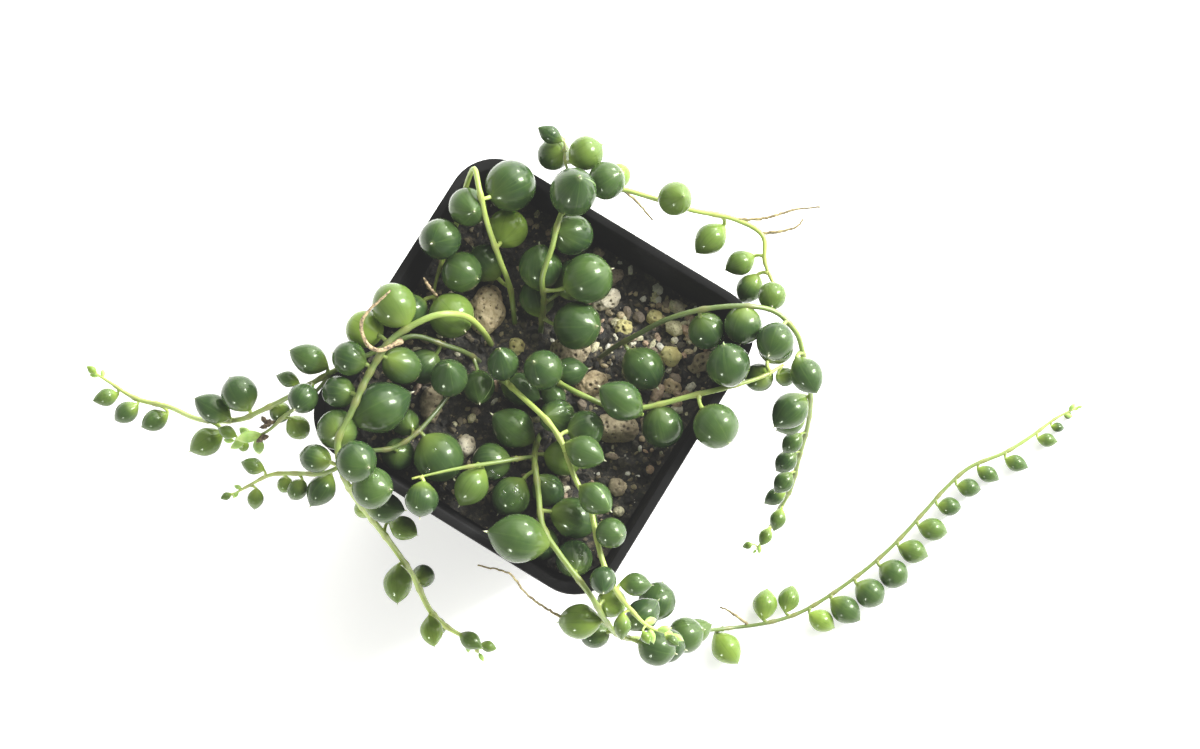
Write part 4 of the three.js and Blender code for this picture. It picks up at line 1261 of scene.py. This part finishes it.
def make_pot(material):
    """Drawn up from its base in steps: the wall, the collar, over the rim and down to the floor inside."""
    steps = [
        (POT_HEIGHT - COLLAR_HEIGHT, body_across(POT_HEIGHT - COLLAR_HEIGHT)),
        (POT_HEIGHT - COLLAR_HEIGHT, RIM_ACROSS),
        (POT_HEIGHT, RIM_ACROSS),
        (POT_HEIGHT, BODY_TOP_ACROSS - 2 * WALL),
        (POT_FLOOR, body_across(POT_FLOOR) - 2 * WALL),
    ]
    bpy.ops.mesh.primitive_plane_add(size=BASE_ACROSS * MM)
    pot = bpy.context.object
    with Editing(pot):
        corner = CORNER_RADIUS * BASE_ACROSS / RIM_ACROSS * MM
        bpy.ops.mesh.bevel(offset=corner, segments=CORNER_SEGMENTS, affect="VERTICES")
        height, across = 0, BASE_ACROSS
        for next_height, next_across in steps:
            rise = (next_height - height) * MM
            bpy.ops.mesh.extrude_region_move(TRANSFORM_OT_translate={"value": (0, 0, rise)})
            resize(next_across / across)
            height, across = next_height, next_across
        turn_outward()
    apply_modifier(
        pot, "BEVEL", width=RIM_ROUNDING * MM, segments=3, limit_method="ANGLE", angle_limit=math.radians(40))
    for x in (-DRAIN_PLACE, DRAIN_PLACE):
        for y in (-DRAIN_PLACE, DRAIN_PLACE):
            bpy.ops.mesh.primitive_cylinder_add(
                vertices=32, radius=DRAIN_RADIUS * MM, depth=4 * POT_FLOOR * MM, location=(x * MM, y * MM, 0))
            drain = bpy.context.object
            apply_modifier(pot, "BOOLEAN", operation="DIFFERENCE", object=drain, solver="EXACT")
            bpy.data.objects.remove(drain)
    select_only(pot)
    bpy.ops.object.shade_smooth_by_angle(angle=math.radians(35))
    finished(pot, "pot_moulding", material, "pot_plastic", "pot")


def in_rounded_square(x, y, across):
    """Moves a place in the square from -1 to 1 into the pot's rounded square."""
    out = max(abs(x), abs(y), 1e-9)
    edge = np.array([x, y]) / out * across / 2
    radius = CORNER_RADIUS * across / RIM_ACROSS
    middle = across / 2 - radius
    beyond = np.abs(edge) - middle
    if beyond.min() > 0:
        edge = np.sign(edge) * (middle + beyond * radius / np.linalg.norm(beyond))
    return edge * out


def rough_height(x, y):
    """The soil's top at a place, with its fine relief."""
    place = Vector((x, y, 0))
    relief = 0.55 * noise.fractal(place * 0.55, 0.9, 2.1, 4) + 0.22 * noise.noise(place * 2.1)
    return soil_height(x, y) + relief


def make_soil(material):
    """A fine grid drawn to the pot's inside, roughened, then drawn down to the pot's floor."""
    top_across = body_across(SOIL_LEVEL) - 2 * (WALL + SOIL_FROM_WALL)
    low = POT_FLOOR + GAP
    low_across = body_across(low) - 2 * (WALL + SOIL_FROM_WALL)
    bpy.ops.mesh.primitive_grid_add(x_subdivisions=SOIL_CELLS, y_subdivisions=SOIL_CELLS, size=2)
    soil = bpy.context.object
    places = coordinates(soil.data)
    for place in places:
        x, y = in_rounded_square(place[0], place[1], top_across)
        place[:] = (x, y, rough_height(x, y))
    set_coordinates(soil.data, places * MM)
    with Editing(soil):
        choose(soil, "edges", lambda edge: edge.is_boundary)
        bpy.ops.mesh.extrude_region_move(TRANSFORM_OT_translate={"value": (0, 0, 0)})
        resize(1, 0, (0, 0, low * MM))
        resize(low_across / top_across)
        bpy.ops.mesh.edge_face_add()
        turn_outward()
    bpy.ops.object.shade_smooth_by_angle(angle=math.radians(50))
    finished(soil, "soil_bed", material, "potting_soil", "soil")


def on_soil(draw, margin):
    across = body_across(SOIL_LEVEL) - 2 * (WALL + margin)
    return in_rounded_square(draw.uniform(-1, 1), draw.uniform(-1, 1), across)


# Grains and stones


def model_grain(seed, subdivisions, lumpiness):
    bpy.ops.mesh.primitive_ico_sphere_add(subdivisions=subdivisions, radius=1)
    grain = bpy.context.object
    with Editing(grain):
        bpy.ops.transform.vertex_random(offset=lumpiness, uniform=0.4, normal=0.3, seed=seed)
    return grain


class Grains:
    """Many copies of a few small grains that lie on the soil, merged into one piece."""

    LEAN = 0.5

    def __init__(self, draw, seeds, subdivisions, lumpiness):
        self.draw = draw
        self.models = [model_grain(seed, subdivisions, lumpiness) for seed in seeds]
        self.copies = []

    def lay(self, x, y, size, flat, rise, tone):
        """Lays a grain at a place, turned at random. Its tone is a number, or a call that draws one."""
        draw = self.draw
        flat = draw.uniform(*flat)
        turn = Matrix.Rotation(draw.uniform(0, math.tau), 4, "Z")
        lean = Matrix.Rotation(draw.uniform(-self.LEAN, self.LEAN), 4, "X")
        lean = lean @ Matrix.Rotation(draw.uniform(-self.LEAN, self.LEAN), 4, "Y")
        long = draw.uniform(0.75, 1.5)
        scale = Matrix.Diagonal((size * long * MM, size / long * MM, size * flat * MM, 1))
        middle = Vector((x, y, rough_height(x, y) + rise * size)) * MM
        model = draw.randrange(len(self.models))
        matrix = Matrix.Translation(middle) @ turn @ lean @ scale
        self.copies.append((model, matrix, tone() if callable(tone) else tone))

    def finish(self, name, material, slot):
        vertices, faces, tones = [], [], []
        shapes = [
            (coordinates(model.data), [list(face.vertices) for face in model.data.polygons])
            for model in self.models]
        for model, matrix, tone in self.copies:
            places, corners = shapes[model]
            turn = np.array(matrix)
            start = len(vertices)
            vertices.extend((places @ turn[:3, :3].T + turn[:3, 3]).tolist())
            faces.extend([[start + corner for corner in face] for face in corners])
            tones.extend([tone] * len(places))
        mesh = bpy.data.meshes.new(name)
        mesh.from_pydata(vertices, [], faces)
        set_attribute(mesh, "tone", tones)
        mesh.update()
        for model in self.models:
            bpy.data.objects.remove(model)
        finished(linked(name, mesh), name, material, slot)


def make_crumbs(draw, material):
    crumbs = Grains(draw, range(5), 1, 0.35)
    for _ in range(CRUMB_COUNT):
        size = 0.16 + 0.75 * draw.random() ** 2.6
        crumbs.lay(*on_soil(draw, size + 0.3), size, (0.4, 0.9), 0.25, lambda: draw.random() ** 1.2)
    crumbs.finish("soil_crumbs", material, "potting_soil")


def make_grit(draw, material):
    """Small grit, thickest where the large stones lie."""
    grit = Grains(draw, range(10, 15), 2, 0.16)
    for x, y, across, tone in GRIT:
        grit.lay(x, y, across / 2, (0.7, 0.9), 0.35, tone)
    for _ in range(GRIT_COUNT):
        size = 0.3 + 0.95 * draw.random() ** 2
        if draw.random() < GRIT_IN_HEAP:
            heap = np.array([draw.gauss(17, 6.5), draw.gauss(15, 8)])
            x, y = np.clip(heap, -GRIT_LIMIT, GRIT_LIMIT)
        else:
            x, y = on_soil(draw, size + 0.4)
        grit.lay(x, y, size, (0.6, 1.0), 0.3, draw.random)
    grit.finish("grit", material, "pumice")


def make_perlite(draw, material):
    specks = Grains(draw, range(20, 24), 2, 0.2)
    for x, y, across in PERLITE:
        specks.lay(x, y, across / 2, (0.7, 0.9), 0.5, lambda: draw.uniform(0.6, 1))
    for _ in range(PERLITE_COUNT):
        size = 0.1 + 0.35 * draw.random() ** 2.5
        specks.lay(*on_soil(draw, size + 0.4), size, (0.6, 1.0), 0.6, draw.random)
    specks.finish("perlite", material, "pale_grit")


def make_stone(number, size, kind, material):
    """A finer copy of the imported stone, roughened and pitted."""
    node = f"stone_{number:02d}"
    piece = linked(node + "_rough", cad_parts[node].data.copy())
    with Editing(piece):
        bpy.ops.mesh.remove_doubles(threshold=0.01 * MM)
    levels = 3 if max(size) > LARGE_STONE else 2
    apply_modifier(piece, "SUBSURF", subdivision_type="SIMPLE", levels=1, render_levels=1)
    apply_modifier(piece, "SUBSURF", levels=levels, render_levels=levels)
    places = coordinates(piece.data)
    pits = []
    for place, normal in zip(places, coordinates(piece.data, "normal")):
        spot = Vector(place) / MM
        rough = noise.fractal(spot * 0.45 + Vector((number, 0, 0)), 0.8, 2.2, 5)
        near = noise.voronoi(spot * 0.85 + Vector((0, number, 0)))[0][0]
        pit = min(1.0, 1.8 * max(0.0, 1 - near / PIT_REACH))
        place += normal * (STONE_SWELL + STONE_ROUGH * rough - PIT_DEPTH * pit) * MM
        pits.append(pit)
    set_coordinates(piece.data, places)
    # How far into a pit each point lies; the pumice finish paints shade into the pits by it.
    set_attribute(piece.data, "pit", pits)
    select_only(piece)
    bpy.ops.object.shade_smooth()
    finished(piece, node + "_rough", material, "pale_grit" if kind == "white" else "pumice", node)


# Floor, light and camera


def make_floor():
    bpy.ops.mesh.primitive_plane_add(size=6)
    floor = bpy.context.object
    floor.name = "floor"
    white = Finish(
        "white_paper", Roughness=0.85, Specular_IOR_Level=0.2, Emission_Strength=FLOOR_GLOW,
        Emission_Color=(1, 1, 0.99, 1))
    white.over(white.noise(0.01, detail=2), (0.88, 0.88, 0.87), base=(0.86, 0.86, 0.85))
    floor.data.materials.append(white.material)


def aim(piece, middle, back, distance):
    """Puts a light or the camera at a distance from a middle in millimetres, facing it."""
    piece.location = Vector(middle) * MM + back * distance
    piece.rotation_mode = "QUATERNION"
    piece.rotation_quaternion = back.to_track_quat("Z", "Y")


def add_light(name, compass, rise, distance, width, height, power, colour=(1, 1, 1)):
    """A soft panel of light that faces the plant, from a compass direction and a rise in degrees."""
    panel = bpy.data.lights.new(name, "AREA")
    panel.shape = "RECTANGLE"
    panel.size, panel.size_y = width, height
    panel.energy = power
    panel.color = colour
    aim(linked(name, panel), LIT_PLACE, direction(compass, rise), distance)


def set_light():
    """A pale room that is brightest low behind the plant, with windows there and a small one in front."""
    world = bpy.data.worlds.new("studio")
    world.use_nodes = True
    bpy.context.scene.world = world
    sky = Nodes(world.node_tree, "BACKGROUND")
    way = sky.add("VectorMath", {"operation": "DOT_PRODUCT"})
    view = sky.add("TexCoord").outputs["Generated"]
    sky.join(view, way.inputs[0])
    sky.join(direction(*GLOW_FROM), way.inputs[1])
    height = sky.add("SeparateXYZ", Vector=view).outputs["Z"]
    room = sky.span(height, 0.05, 0.8, HORIZON_LIGHT, CEILING_LIGHT)
    glow = sky.span(way.outputs["Value"], 0.5, 1.0, 0, WINDOW_GLOW)
    sky.join((1, 1, 0.95, 1), sky.shader.inputs["Color"])
    sky.join(sky.math("ADD", room, glow), sky.shader.inputs["Strength"])
    add_light("tall_window", 80, 46, 2.2, 2.8, 2.0, 30, (1, 0.99, 0.93))
    add_light("side_window", 57, 36, 1.2, 0.26, 0.50, 22)
    add_light("far_window", 94, 16, 0.9, 0.10, 0.10, 2.6)
    add_light("front_window", 272, 18, 0.8, 0.08, 0.10, 1.9)
    look = bpy.context.scene.view_settings
    look.view_transform = "Standard"
    look.gamma = VIEW_GAMMA
    look.use_curve_mapping = True
    look.curve_mapping.black_level = (-LENS_VEIL, -LENS_VEIL, -LENS_VEIL)
    look.curve_mapping.update()


def set_camera():
    view = bpy.data.cameras.new("camera")
    view.lens = LENS
    view.sensor_width = 36
    view.clip_start = 0.01
    camera = linked("camera", view)
    aim(camera, AIM, direction(AZIMUTH - 90, ELEVATION), DISTANCE * MM)
    bpy.context.scene.camera = camera


# The whole plant

pearls = grown_pearls()
settle(pearls)
set_axes(pearls)
draw = random.Random(7)

set_camera()
set_light()
make_floor()
make_pot(pot_plastic())
make_soil(peat("peat_bed", False))
make_crumbs(draw, peat("peat_crumbs", True))
make_grit(draw, grit_mix())
make_perlite(draw, perlite())
stone_finishes = {kind: pumice(kind) for kind in PUMICE_COLOURS}
for number, (_, size, kind) in enumerate(STONES, 1):
    make_stone(number, size, kind, stone_finishes[kind])
make_stems(pearls, stem_skin())
make_roots(draw, dry_skin("root_bark", (0.46, 0.38, 0.17), (0.16, 0.12, 0.055)))
make_pearls(pearls, draw, pearl_skin())
make_tip_leaves(draw, new_leaf_skin())
make_water_drops(pearls, draw, clear_water())
make_dry_parts(draw, dry_skin("withered_skin", (0.60, 0.45, 0.24), (0.05, 0.03, 0.018)))
